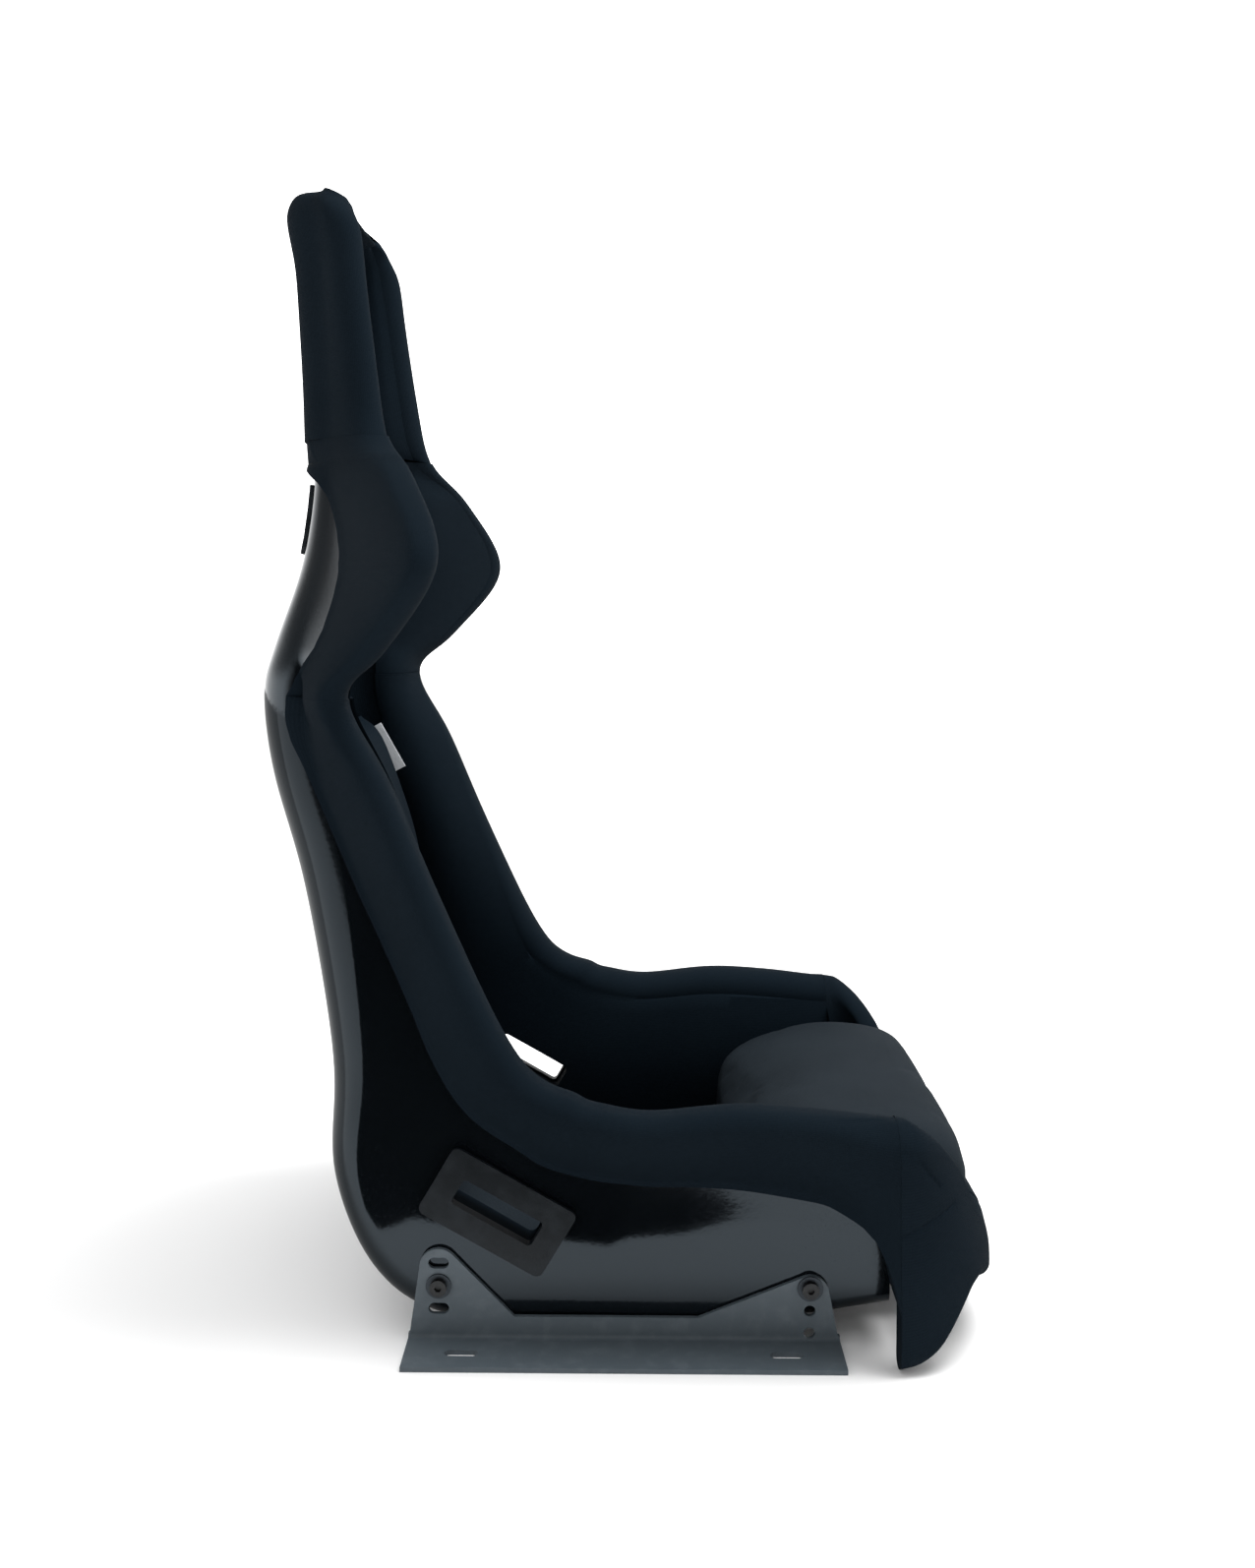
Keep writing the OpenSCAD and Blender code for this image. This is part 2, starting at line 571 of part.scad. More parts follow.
// Lines of the cushion seen from the side, from its rear foot to its front edge
thigh_upper = [[thigh_rear, front_floor[0][1] + cushion_low + 8], [thigh_rear - 2, thigh_top - 67],
  [thigh_rear + 5, thigh_top - 38], [thigh_rear + 34, thigh_top - 17], [thigh_rear + 90, thigh_top],
  [nose_x - 62, thigh_top], [nose_x - 26, thigh_top - 11], [nose_x - 13, nose_top + 12]];
thigh_lower = concat([[thigh_rear + 4, front_floor[0][1] + cushion_low]],
  [for (i = [1:3]) [front_floor[i][0] - (i == 3 ? 1 : 0), front_floor[i][1] + cushion_low]],
  [for (x = [pan_front - 0.6, pan_front + 30, nose_x - 40, nose_x - 18]) [x, nose_top + seat_gap]]);
thigh_mid = [thigh_rear + 100, thigh_top - 60];
thigh_steps = [1, 0.96, 0.86, 0.6, 0.3, 0, -0.3, -0.6, -0.86, -0.96, -1];
function drawn(t) = 1 - 0.05 * pow(abs(t), 8) - 0.03 * pow(t, 4);
module thigh_cushion() {
  color(charcoal) loft(
    [for (t = thigh_steps) [for (p = thigh_lower) [p[0], t * thigh_half, p[1]]]],
    [for (t = thigh_steps) [for (p = thigh_upper) let (q = thigh_mid + (p - thigh_mid) * drawn(t))
      [q[0], t * thigh_half, q[1]]]]);
}
module thigh_strips() {
  color(knit) for (side = [-1, 1]) on_side(side) loft(
    [for (s = [front_floor[1], front_floor[2]]) [for (y = [50, 90]) place(s, [y, seat_gap])]],
    [for (s = [front_floor[1], front_floor[2]]) [for (y = [50, 90]) place(s, [y, cushion_low])]]);
}

// Front face of the seat and its half width, both at a height
nose_line = [[nose_low - 4, 10], [nose_low, 3], [50, 0], [72, 1], [nose_top, 12], [140, 25], [165, 37], [186, 50]];
flare_line = [[0, 2], [15, 0], [60, 6], [100, 13], [140, 19], [165, 23], [186, 32]];
function front_x(z) = nose_x - lookup(z, nose_line);
function side_y(z) = lobe_half - lookup(z, flare_line);
function arch(y) = nose_low + nose_arch * pow(cos(90 * min(1, abs(y) / nose_half)), 2);
nose_steps = [for (i = [-4:4]) i / 4 * nose_half];
module nose_cover() {
  color(knit) loft(
    [for (y = nose_steps) [for (p = [[nose_x - 14, arch(y)], [nose_x - 22, arch(y) + 8],
        [nose_x - 34, arch(y) + 20], [pan_front + 20, arch(y) + 10], [front_gap, arch(y) - 6], [front_gap, nose_top]])
      [p[0], y, p[1]]]],
    [for (y = nose_steps) [for (f = [0, 0.12, 0.35, 0.65, 0.88, 1]) let (z = mix(arch(y), nose_top, f))
      [front_x(z) - (f == 1 ? 4 : f == 0 ? 4 : 0), y, z]]]);
}

// A lobe wraps each front corner of the seat and hangs below the pan
lobe_steps = [0, 12, 24, 34, 46, 57, 67, 78, 90];
lobe_round = 4;
function lobe_low(a) = lookup(a, [[0, nose_low], [24, nose_low + 15], [34, nose_low + 22], [46, nose_low + 18],
  [57, nose_low + 1], [67, nose_low - 17], [78, lobe_z + 4.5], [90, lobe_z]]);
function lobe_top(a) = lookup(a, [[0, nose_top], [24, nose_top], [34, 155], [46, 178], [57, 188], [67, 192], [90, 193]]);
function lobe_deep(a, z) = mix(nose_pad, lobe_deep, ease((a - 30) / 60) * ease((z - nose_top + 20) / 40));
function lobe_point(a, z, share) =
  let (deep = share * lobe_deep(a, z))
  [front_gap + max(0, front_x(z) - front_gap - deep) * cos(a),
    nose_half + seat_gap + (side_y(z) - nose_half - seat_gap - deep) * sin(a), z];
// One side of a lobe's section from its tip to its crest, both rounded
function lobe_line(a, side) =
  let (low = lobe_low(a), top = lobe_top(a), r1 = nose_pad / 2, r2 = lobe_deep(a, top) / 2)
  concat(
    [for (i = [0:lobe_round - 1]) let (q = 90 * i / lobe_round)
      lobe_point(a, low + r1 * (1 - cos(q)), 0.5 + side * (0.06 + 0.44 * sin(q)))],
    [for (f = [0, 0.5, 1]) lobe_point(a, mix(low + r1, top - r2, f), 0.5 + side * 0.5)],
    [for (i = [1:lobe_round]) let (q = 90 * i / lobe_round)
      lobe_point(a, top - r2 * (1 - sin(q)), 0.5 + side * (0.06 + 0.44 * cos(q)))]);
module lobe() {
  color(knit) loft(
    [for (a = lobe_steps) lobe_line(a, 1)],
    [for (a = lobe_steps) lobe_line(a, -1)]);
}

// Small sewn tag at the upper left edge of the lumbar cushion, left plain
module blank_tag() {
  s = section(lumbar_from + 0.45);
  y = floor_end(s) - lumbar_inset + 1;
  color([0.75, 0.76, 0.78]) translate(place(s, floor_at(s, y) + [0, lumbar_low + lumbar_t * 0.5]))
    rotate([0, -28, 0]) rotate([6, 0, 0]) translate([-6, 0, -24]) cube([12, 1, 48]);
}

shell();
mount_inserts();
bracket();  // bracket_left
on_side(-1) bracket();  // bracket_right
mount_washers();
mount_bolts();
shoulder_bezel();  // shoulder_bezel_left
on_side(-1) shoulder_bezel();  // shoulder_bezel_right
lap_bezel();  // lap_bezel_left
on_side(-1) lap_bezel();  // lap_bezel_right
crotch_bezel();
head_cover();
head_cushion();
wing_cover();  // wing_pad_left
on_side(-1) wing_cover();  // wing_pad_right
side_bolster();  // side_bolster_left
on_side(-1) side_bolster();  // side_bolster_right
lobe();  // lobe_left
on_side(-1) lobe();  // lobe_right
nose_cover();
back_pad();
pan_pad();
lumbar_cushion();
lumbar_strips();
thigh_cushion();
thigh_strips();
blank_tag();
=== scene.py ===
"""A fixed-back racing seat dressed for the studio: gloss shell, knit covers, loose cushions."""
import math

import bmesh
import bpy
import numpy as np
from mathutils import Matrix, Vector


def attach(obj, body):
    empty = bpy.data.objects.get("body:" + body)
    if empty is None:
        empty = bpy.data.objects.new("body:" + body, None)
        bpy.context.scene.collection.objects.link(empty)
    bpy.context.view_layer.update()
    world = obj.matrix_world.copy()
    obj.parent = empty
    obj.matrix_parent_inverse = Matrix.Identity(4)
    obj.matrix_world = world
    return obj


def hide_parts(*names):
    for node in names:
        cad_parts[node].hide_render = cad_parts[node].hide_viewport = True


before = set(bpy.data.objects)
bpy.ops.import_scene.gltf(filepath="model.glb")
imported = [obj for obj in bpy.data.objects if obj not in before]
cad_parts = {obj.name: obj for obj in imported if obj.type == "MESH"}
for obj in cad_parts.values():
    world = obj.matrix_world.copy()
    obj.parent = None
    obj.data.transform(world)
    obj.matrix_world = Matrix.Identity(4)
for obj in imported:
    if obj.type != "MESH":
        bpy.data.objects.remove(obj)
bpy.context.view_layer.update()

# ---- Camera ----
# A normal lens on a stand 1.35 m to the seat's right, at the height of the lumbar cushion,
# tipped down a little so that it looks past the near bolster into the seat.
scene = bpy.context.scene
lens = bpy.data.cameras.new("studio_camera")
lens.lens = 35.333
lens.clip_start = 0.05
camera = bpy.data.objects.new("studio_camera", lens)
scene.collection.objects.link(camera)
pitch, roll = 0.1264, 0.0075
ahead = Vector((0, math.cos(pitch), -math.sin(pitch)))
level = Vector((1, 0, 0))
upright = level.cross(ahead)
right = level * math.cos(roll) + upright * math.sin(roll)
up = upright * math.cos(roll) - level * math.sin(roll)
camera.matrix_world = Matrix((right, up, -ahead)).transposed().to_4x4()
camera.location = (-0.0006, -1.35, 0.5868)
scene.camera = camera


# ---- Shader maths ----
# Every finish below is mixed from numbers that change over its surface. This wraps one such
# number so that it adds and multiplies as in plain arithmetic.
class Shade:
    def __init__(self, tree, socket=None):
        self.tree = tree
        self.socket = socket

    def node(self, kind, settings=(), sockets=(), out=0):
        made = self.tree.nodes.new(kind)
        for name, value in dict(settings).items():
            setattr(made, name, value)
        for key, value in dict(sockets).items():
            if isinstance(value, Shade):
                self.tree.links.new(value.socket, made.inputs[key])
            else:
                made.inputs[key].default_value = value
        return Shade(self.tree, made.outputs[out])

    def maths(self, operation, *values):
        return self.node("ShaderNodeMath", {"operation": operation}, enumerate(values))

    def __add__(self, other):
        return self.maths("ADD", self, other)

    def __sub__(self, other):
        return self.maths("SUBTRACT", self, other)

    def __rsub__(self, other):
        return self.maths("SUBTRACT", other, self)

    def __mul__(self, other):
        return self.maths("MULTIPLY", self, other)

    __radd__ = __add__
    __rmul__ = __mul__

    def ramp(self, low, high):
        sockets = {"Value": self, "From Min": low, "From Max": high}
        return self.node("ShaderNodeMapRange", {"interpolation_type": "SMOOTHSTEP"}, sockets)

    def grain(self, scale, detail=2.0):
        sockets = {"Vector": self.node("ShaderNodeTexCoord", out=3), "Scale": scale, "Detail": detail}
        return self.node("ShaderNodeTexNoise", {}, sockets)

    def blend(self, low, high):
        factor, colour_a, colour_b, colour = 0, 6, 7, 2
        sockets = {factor: self, colour_a: (*low, 1), colour_b: (*high, 1)}
        return self.node("ShaderNodeMix", {"data_type": "RGBA"}, sockets, colour)

    def relief(self, strength, depth):
        sockets = {"Height": self, "Strength": strength, "Distance": depth}
        return self.node("ShaderNodeBump", {}, sockets)


def finish(name, paint, **fixed):
    """A material: fixed holds the sockets with one value, paint returns those that vary."""
    made = bpy.data.materials.new(name)
    made.use_nodes = True
    surface = made.node_tree.nodes["Principled BSDF"]
    for key, value in fixed.items():
        surface.inputs[key.replace("_", " ")].default_value = value
    for key, value in paint(Shade(made.node_tree)).items():
        made.node_tree.links.new(value.socket, surface.inputs[key])
    return made


# ---- Studio ----
# A pale seamless floor, a large softbox over the seat's front, a faint one behind it and a
# white room that is dark only on the camera's side, flagged off to keep black things black.
# Floor and room show the gloss other tones than they show the light: painted reflections.
def floor_and_reflection_paint(shade):
    back = shade.node("ShaderNodeSeparateXYZ", {}, {0: shade.node("ShaderNodeTexCoord", out=3)}, 1)
    in_gloss = shade.node("ShaderNodeLightPath", out=3)
    # Seen in reflections only, the floor turns grey from 0.2 m on the camera's side of the centre line back: a
    # painted dark reflection. Camera and diffuse light see it pale.
    tone = in_gloss * back.ramp(-0.33, -0.20) + shade.grain(3.0) * 0.02
    return {"Base Color": tone.blend((0.95, 0.95, 0.95), (0.42, 0.42, 0.42))}


floor_mesh = bpy.data.meshes.new("studio_floor")
reach = 9.0
floor_mesh.from_pydata(
    [(-reach, -reach, 0), (reach, -reach, 0), (reach, reach, 0), (-reach, reach, 0)], [], [(0, 1, 2, 3)])
floor = bpy.data.objects.new("studio_floor", floor_mesh)
scene.collection.objects.link(floor)
floor_mesh.materials.append(finish("pale_floor_grey_in_reflections", floor_and_reflection_paint, Roughness=0.9))

room = bpy.data.worlds.new("studio_room")
scene.world = room
room.use_nodes = True
shade = Shade(room.node_tree)
towards = shade.node("ShaderNodeTexCoord", out=0)
dark_side = (0.25, -0.96, 0.1)
flagged = shade.node("ShaderNodeVectorMath", {"operation": "DOT_PRODUCT"}, {0: towards, 1: dark_side}, 1)
height = shade.node("ShaderNodeSeparateXYZ", {}, {0: towards}, 2)
open_side = 1 - flagged.ramp(0.05, 0.5) * (1 - height.ramp(0.75, 0.95))
seen_in_gloss = shade.node("ShaderNodeLightPath", out=3)
seen_direct = shade.node("ShaderNodeLightPath")
soft_light = 0.55 + open_side * 0.9
# Glossy rays see the room brighter near the horizon and dimmer overhead than the light it sheds: a painted
# reflection.
gloss_light = 0.03 + open_side * (2.2 - height.ramp(0.05, 0.35) * 1.95)
lit = soft_light - seen_in_gloss * (soft_light - gloss_light) + seen_direct
background = room.node_tree.nodes["Background"]
room.node_tree.links.new(lit.socket, background.inputs["Strength"])
background.inputs["Color"].default_value = (1, 1, 1, 1)


def softbox(name, place_at, aim, size, power):
    lamp = bpy.data.lights.new(name, "AREA")
    lamp.shape = "RECTANGLE"
    lamp.size, lamp.size_y = size
    lamp.energy = power
    made = bpy.data.objects.new(name, lamp)
    scene.collection.objects.link(made)
    made.location = place_at
    made.rotation_euler = (Vector(aim) - Vector(place_at)).to_track_quat("-Z", "Y").to_euler()
    made.visible_glossy = False


softbox("top_softbox", (0.8, 0.1, 2.2), (0.1, 0, 0.3), (1.2, 1.2), 52)
softbox("rear_softbox", (-1.9, 0.5, 1.5), (-0.2, 0, 0.5), (1.2, 1.8), 4)
scene.view_settings.view_transform = "Standard"

# A black flag stands beside the seat, hidden from the lens, from diffuse light and from shadows, so it is a
# painted reflection only: the gloss under the covers mirrors black above a soft edge and the white floor below
# it.
flag_line = [(-0.262, 0.09), (-0.25, 0.06), (-0.21, 0.052), (-0.178, 0.066), (-0.075, 0.05), (-0.05, 0.046),
             (-0.014, 0.042), (0.004, 0.049), (0.048, 0.053), (0.095, 0.064), (0.127, 0.068), (0.183, 0.068),
             (0.215, 0.066), (0.24, 0.05)]
flag_y, flag_top, flag_n = -0.285, 0.42, len(flag_line)
flag_mesh = bpy.data.meshes.new("black_flag_seen_in_reflections")
flag_mesh.from_pydata([(x, flag_y, z) for x, z in flag_line] + [(x, flag_y, flag_top) for x, z in flag_line], [],
                      [(i, i + 1, flag_n + i + 1, flag_n + i) for i in range(flag_n - 1)])
flag = bpy.data.objects.new("black_flag_seen_in_reflections", flag_mesh)
scene.collection.objects.link(flag)
flag_mesh.materials.append(finish("flag_black_seen_in_reflections", lambda shade: {
    "Base Color": shade.grain(40.0).blend((0.001, 0.001, 0.001), (0.002, 0.002, 0.002))}, Roughness=1.0,
    Specular_IOR_Level=0.0))
for seen in ("camera", "diffuse", "transmission", "volume_scatter", "shadow"):
    setattr(flag, "visible_" + seen, False)

# ---- Form of the shell ----
# The seat is one swept form. Each row is a section through it: forward place and height of
# its floor line, turn of its walls, wall height, floor and rim half width, corner radius,
# dish of the floor and the straight share of the wall, in millimetres and degrees.
KEYS = np.array([
    [-246, 897, -22, 5, 68, 72, 3, 0, 0],
    [-258, 888, -14, 20, 82, 86, 16, 2, 0],
    [-265, 867, -6, 33, 90, 94, 18, 4, 0],
    [-264, 821.5, 0, 36, 93, 99, 20, 5, 0],
    [-260, 748, 0, 42, 98, 109, 20, 5, 0],
    [-259, 702, 0, 50, 107, 126, 22, 6, 0],
    [-260, 668, 0, 78, 128, 191, 34, 10, 0],
    [-268, 604, 0, 113, 158, 262, 46, 11, 0],
    [-288, 540, 0, 88.5, 166, 219, 44, 10, 0],
    [-295, 503, 0, 62, 165, 196, 38, 9, 0.1],
    [-288, 440, 0, 86, 170, 196, 40, 9, 0.15],
    [-263, 350, 0, 99, 180, 198, 38, 10, 0.25],
    [-241, 215, 12, 129, 194, 203, 32, 12, 0.35],
    [-237, 125, 27, 171, 200, 208, 26, 10, 0.4],
    [-201, 51, 43, 200, 200, 212, 20, 5, 0.45],
    [-142, 17, 56, 193, 200, 213, 18, 0, 0.5],
    [-40, 11, 72.5, 165, 200, 214, 18, 0, 0.5],
    [90, 15, 86.5, 160, 200, 216, 12, 0, 0.5],
    [208, 34, 91, 132, 200, 218, 8, 0, 0.45]])
LAST = len(KEYS) - 1
NECK, WAIST = 5, 9
WALL, RIM, GAP = 4.0, 9.0, 0.4
SLACK = 2.5 * GAP
RIM_SWEEP = 180 * 0.94


def mix(a, b, t):
    return a + (b - a) * t


def ease(t):
    t = np.clip(t, 0, 1)
    return t * t * (3 - 2 * t)


def smooth_table(fine, spread=0.13):
    """The sections between the keys, evened out so that the gloss shows no kink."""
    u = np.arange(LAST * fine + 1) / fine
    k = np.clip(np.floor(u).astype(int), 0, LAST - 1)
    t = (u - k)[:, None]
    a, b, c, d = (KEYS[np.clip(k + step, 0, LAST)] for step in (-1, 0, 1, 2))
    table = 0.5 * (2 * b + (c - a) * t + (2 * a - 5 * b + 4 * c - d) * t * t
                   + (3 * b - a - 3 * c + d) * t ** 3)
    half = int(3 * spread * fine)
    kernel = np.exp(-0.5 * (np.arange(-half, half + 1) / (spread * fine)) ** 2)
    kernel /= kernel.sum()
    before = 2 * table[0] - table[half:0:-1]
    after = 2 * table[-1] - table[-2:-half - 2:-1]
    longer = np.vstack([before, table, after])
    return np.stack([np.convolve(longer[:, i], kernel, "valid") for i in range(9)], axis=1)


FINE = 48
TABLE = smooth_table(FINE)


def section(u):
    spot = np.clip(u, 0, LAST) * FINE
    k = min(int(spot), len(TABLE) - 2)
    return mix(TABLE[k], TABLE[k + 1], spot - k)


def radius(s):
    return min(s[6], s[3] * 0.8)


def floor_end(s):
    return s[4] - radius(s)


def corner_at(s, angle):
    slope = math.atan(2 * s[7] / floor_end(s))
    r = radius(s)
    centre = np.array([floor_end(s) - r * math.sin(slope), s[7] + r * math.cos(slope)])
    return centre + r * np.array([math.cos(math.radians(angle)), math.sin(math.radians(angle))])


def lean(s):
    """Slope of the whole wall, which fades away where the wall has a straight share."""
    full = math.degrees(math.atan2(s[5] - s[4], s[3])) * 0.8
    return full * float(1 - ease(s[8] / 0.1))


def wall_at(s, t):
    foot = corner_at(s, -lean(s))
    bend = max(0.0, (t - s[8]) / (1 - s[8]))
    power = mix(1.2, 1.9, float(ease(s[8] / 0.1)))
    return np.array([foot[0] + (s[5] - foot[0]) * bend ** power, mix(foot[1], s[3], t)])


def floor_at(s, y):
    return np.array([y, s[7] * (y / floor_end(s)) ** 2])


def rim_at(s, angle, r=RIM):
    turn = math.radians(angle)
    return np.array([s[5] + RIM + r * math.cos(turn), s[3] + r * math.sin(turn)])


FLOOR_N, CORNER_N, WALL_N, RIM_N = 12, 9, 14, 14


def half_inner(s):
    """Half of the inner profile: floor, corner, wall, rolled rim."""
    end = floor_end(s)
    start = math.degrees(math.atan(2 * s[7] / end)) - 90
    return np.array(
        [floor_at(s, end * i / FLOOR_N) for i in range(FLOOR_N + 1)]
        + [corner_at(s, mix(start, -lean(s), i / CORNER_N)) for i in range(1, CORNER_N + 1)]
        + [wall_at(s, i / WALL_N) for i in range(1, WALL_N + 1)]
        + [rim_at(s, 180 - RIM_SWEEP * i / RIM_N) for i in range(1, RIM_N + 1)])


CORNER_I = FLOOR_N
WALL_I = FLOOR_N + CORNER_N
RIM_I = WALL_I + WALL_N
HALF_N = RIM_I + RIM_N


def normals(p):
    along = np.vstack([p[1] - p[0], p[2:] - p[:-2], p[-1] - p[-2]])
    along[0] = (1, 0)
    return np.stack([-along[:, 1], along[:, 0]], axis=1) / np.linalg.norm(along, axis=1)[:, None]


def offset_by(p, d):
    return p + normals(p) * d


def place(s, p):
    """Points across the seat and up from its floor, put where the section stands, in metres."""
    p = np.atleast_2d(p)
    turn = math.radians(s[2])
    forward, height_at = s[0] + p[:, 1] * math.cos(turn), s[1] + p[:, 1] * math.sin(turn)
    return np.stack([forward, p[:, 0], height_at], axis=1) / 1000


def both_sides(p):
    return np.vstack([p[::-1] * (-1, 1), p[1:]])


def link(name, mesh):
    made = bpy.data.objects.new(name, mesh)
    scene.collection.objects.link(made)
    return made


def ring_mesh(name, rings, sharp=35):
    """A skin over rows of points, each row a closed loop, capped at both ends, with its cloth
    laid out in metres along and across."""
    rings = np.asarray(rings)
    n, m = rings.shape[:2]
    mesh = bpy.data.meshes.new(name)
    faces, laid = [], []
    along = np.concatenate([[0], np.cumsum(np.linalg.norm(np.diff(rings, axis=0), axis=2).max(axis=1))])
    steps = np.linalg.norm(np.roll(rings, -1, axis=1) - rings, axis=2)
    across = np.concatenate([[0], np.cumsum(steps.mean(axis=0))])
    for k in range(n - 1):
        for i in range(m):
            j = (i + 1) % m
            faces.append((k * m + i, k * m + j, (k + 1) * m + j, (k + 1) * m + i))
            laid += [(across[i], along[k]), (across[i + 1], along[k]),
                     (across[i + 1], along[k + 1]), (across[i], along[k + 1])]
    points = list(map(tuple, rings.reshape(-1, 3)))
    for k, first in ((0, True), (n - 1, False)):
        hub = len(points)
        points.append(tuple(rings[k].mean(axis=0)))
        for i in range(m):
            j = (i + 1) % m
            loop = (k * m + j, k * m + i, hub) if first else (k * m + i, k * m + j, hub)
            faces.append(loop)
            for corner in loop:
                laid.append((points[corner][1], points[corner][2]))
    mesh.from_pydata(points, [], faces)
    mesh.uv_layers.new(name="cloth").data.foreach_set("uv", np.array(laid).ravel())
    sheet = bmesh.new()
    sheet.from_mesh(mesh)
    bmesh.ops.remove_doubles(sheet, verts=sheet.verts, dist=1e-6)
    bmesh.ops.recalc_face_normals(sheet, faces=sheet.faces)
    for face in sheet.faces:
        face.smooth = True
    for edge in sheet.edges:
        edge.smooth = len(edge.link_faces) == 2 and edge.calc_face_angle(0) < math.radians(sharp)
    sheet.to_mesh(mesh)
    sheet.free()
    return link(name, mesh)


# ---- Shell ----
# Glass-fibre laminate 4 mm thick, laid up in one mould with a gloss black gelcoat outside
# and a rolled rim that stiffens its edge. The belt slots are cut through it.
def gelcoat_paint(shade):
    peel = shade.grain(260.0, 1.0)
    cloud = shade.grain(7.0, 3.0)
    dust = shade.grain(900.0, 1.0).ramp(0.62, 0.75) * cloud.ramp(0.45, 0.7)
    return {
        "Base Color": (cloud * 0.7 + dust * 0.5).blend((0.0015, 0.0022, 0.003), (0.004, 0.0055, 0.007)),
        "Roughness": 0.07 + cloud * 0.05 + dust * 0.2,
        "Normal": (peel * 0.4 + cloud).relief(0.04, 0.002)}


gelcoat = finish("gelcoat", gelcoat_paint, Specular_IOR_Level=0.5, Specular_Tint=(0.74, 0.88, 1.0, 1.0))
stations = np.linspace(0, LAST, LAST * 12 + 1)
shell_rings = []
for u in stations:
    s = section(u)
    inner = half_inner(s)
    outer = offset_by(inner, -WALL)
    shell_rings.append(place(s, np.vstack([both_sides(inner), both_sides(outer)[::-1]])))
shell = ring_mesh("shell_laminate", shell_rings, sharp=50)


def slot_cutter(frame_at, length, width, depth, corner=0.006):
    """A rounded bar to cut a belt slot with."""
    tool = bmesh.new()
    ring = []
    for sx, sy, start in ((1, 1, 0), (-1, 1, 90), (-1, -1, 180), (1, -1, 270)):
        for step in range(9):
            turn = math.radians(start + step * 90 / 8)
            ring.append((sx * (length / 2 - corner) + corner * math.cos(turn),
                         sy * (width / 2 - corner) + corner * math.sin(turn)))
    low = [tool.verts.new((x, y, -depth)) for x, y in ring]
    high = [tool.verts.new((x, y, depth)) for x, y in ring]
    tool.faces.new(low[::-1])
    tool.faces.new(high)
    for i in range(len(ring)):
        j = (i + 1) % len(ring)
        tool.faces.new((low[i], low[j], high[j], high[i]))
    tool.transform(frame_at)
    bmesh.ops.recalc_face_normals(tool, faces=tool.faces)
    mesh = bpy.data.meshes.new("cutter")
    tool.to_mesh(mesh)
    tool.free()
    return link("cutter", mesh)


def cut(piece, cutters):
    """Takes the cutters out of a piece and leaves a plain mesh."""
    for cutter in cutters:
        knife = piece.modifiers.new("cut", "BOOLEAN")
        knife.operation = "DIFFERENCE"
        knife.solver = "EXACT"
        knife.object = cutter
        settle(piece)
        bpy.data.objects.remove(cutter)


def settle(piece):
    """Applies a piece's modifiers."""
    ready = piece.evaluated_get(bpy.context.evaluated_depsgraph_get())
    mesh = bpy.data.meshes.new_from_object(ready)
    piece.modifiers.clear()
    old = piece.data
    piece.data = mesh
    bpy.data.meshes.remove(old)


def quarter(axis, degrees):
    return Matrix.Rotation(math.radians(degrees), 4, axis)


def shoulder_frame(side):
    where = (section(NECK + 1.5)[0] / 1000, side * 0.064, 0.640)
    return Matrix.Translation(where) @ quarter("Y", 90) @ quarter("Z", 90)


def lap_frame(side):
    left = Matrix.Translation((-0.099, 0.200, 0.106)) @ quarter("Y", 30) @ quarter("X", -92)
    return Matrix.Scale(side, 4, (0, 1, 0)) @ left


crotch_frame = Matrix.Translation((0.081, 0, 0.011)) @ quarter("Z", 90)
cut(shell, [slot_cutter(shoulder_frame(side), 0.072, 0.038, 0.06) for side in (-1, 1)]
    + [slot_cutter(lap_frame(side), 0.076, 0.027, 0.06) for side in (-1, 1)]
    + [slot_cutter(crotch_frame, 0.060, 0.016, 0.06)])
shell.data.materials.clear()
shell.data.materials.append(gelcoat)
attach(shell, "seat")
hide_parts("shell")


# ---- Slot bezels ----
# Injection-moulded frames that line the belt slots so that the webbing doesn't chafe. Their
# black plastic has a fine spark-eroded grain and a smooth lip round the opening.
def bezel_paint(shade):
    grain = shade.grain(1400.0, 2.0)
    wear = shade.grain(60.0, 4.0)
    return {
        "Base Color": wear.ramp(0.35, 0.75).blend((0.006, 0.0095, 0.013), (0.012, 0.017, 0.022)),
        "Roughness": 0.42 + wear * 0.2,
        "Normal": grain.relief(0.25, 0.0006)}


bezel_plastic = finish("bezel_plastic", bezel_paint, Specular_IOR_Level=0.3)


def dress(node, material):
    """Gives a carried-over solid its material."""
    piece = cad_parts[node]
    piece.data.materials.clear()
    piece.data.materials.append(material)


for node in ("shoulder_bezel_left", "shoulder_bezel_right", "lap_bezel_left", "lap_bezel_right",
             "crotch_bezel"):
    dress(node, bezel_plastic)


# ---- Side mounts ----
# Bent 4 mm steel brackets with a satin black powder coat, whose ears hold the shell by four
# button-head bolts and black-plated washers screwed into inserts in the laminate.
def bracket_paint(shade):
    peel = shade.grain(700.0, 2.0)
    scuff = shade.grain(90.0, 6.0)
    return {
        "Base Color": scuff.ramp(0.45, 0.8).blend((0.076, 0.097, 0.113), (0.098, 0.120, 0.138)),
        "Roughness": 0.50 + scuff * 0.2,
        "Normal": (peel + scuff * 0.3).relief(0.12, 0.0008)}


def zinc_paint(shade):
    spangle = shade.grain(220.0, 5.0)
    return {
        "Base Color": spangle.blend((0.035, 0.042, 0.05), (0.07, 0.08, 0.09)),
        "Roughness": 0.38 + spangle * 0.2}


def bolt_paint(shade):
    oxide = shade.grain(500.0, 4.0)
    return {
        "Base Color": oxide.blend((0.016, 0.018, 0.020), (0.05, 0.05, 0.05)),
        "Roughness": 0.3 + oxide * 0.2,
        "Normal": oxide.relief(0.1, 0.0004)}


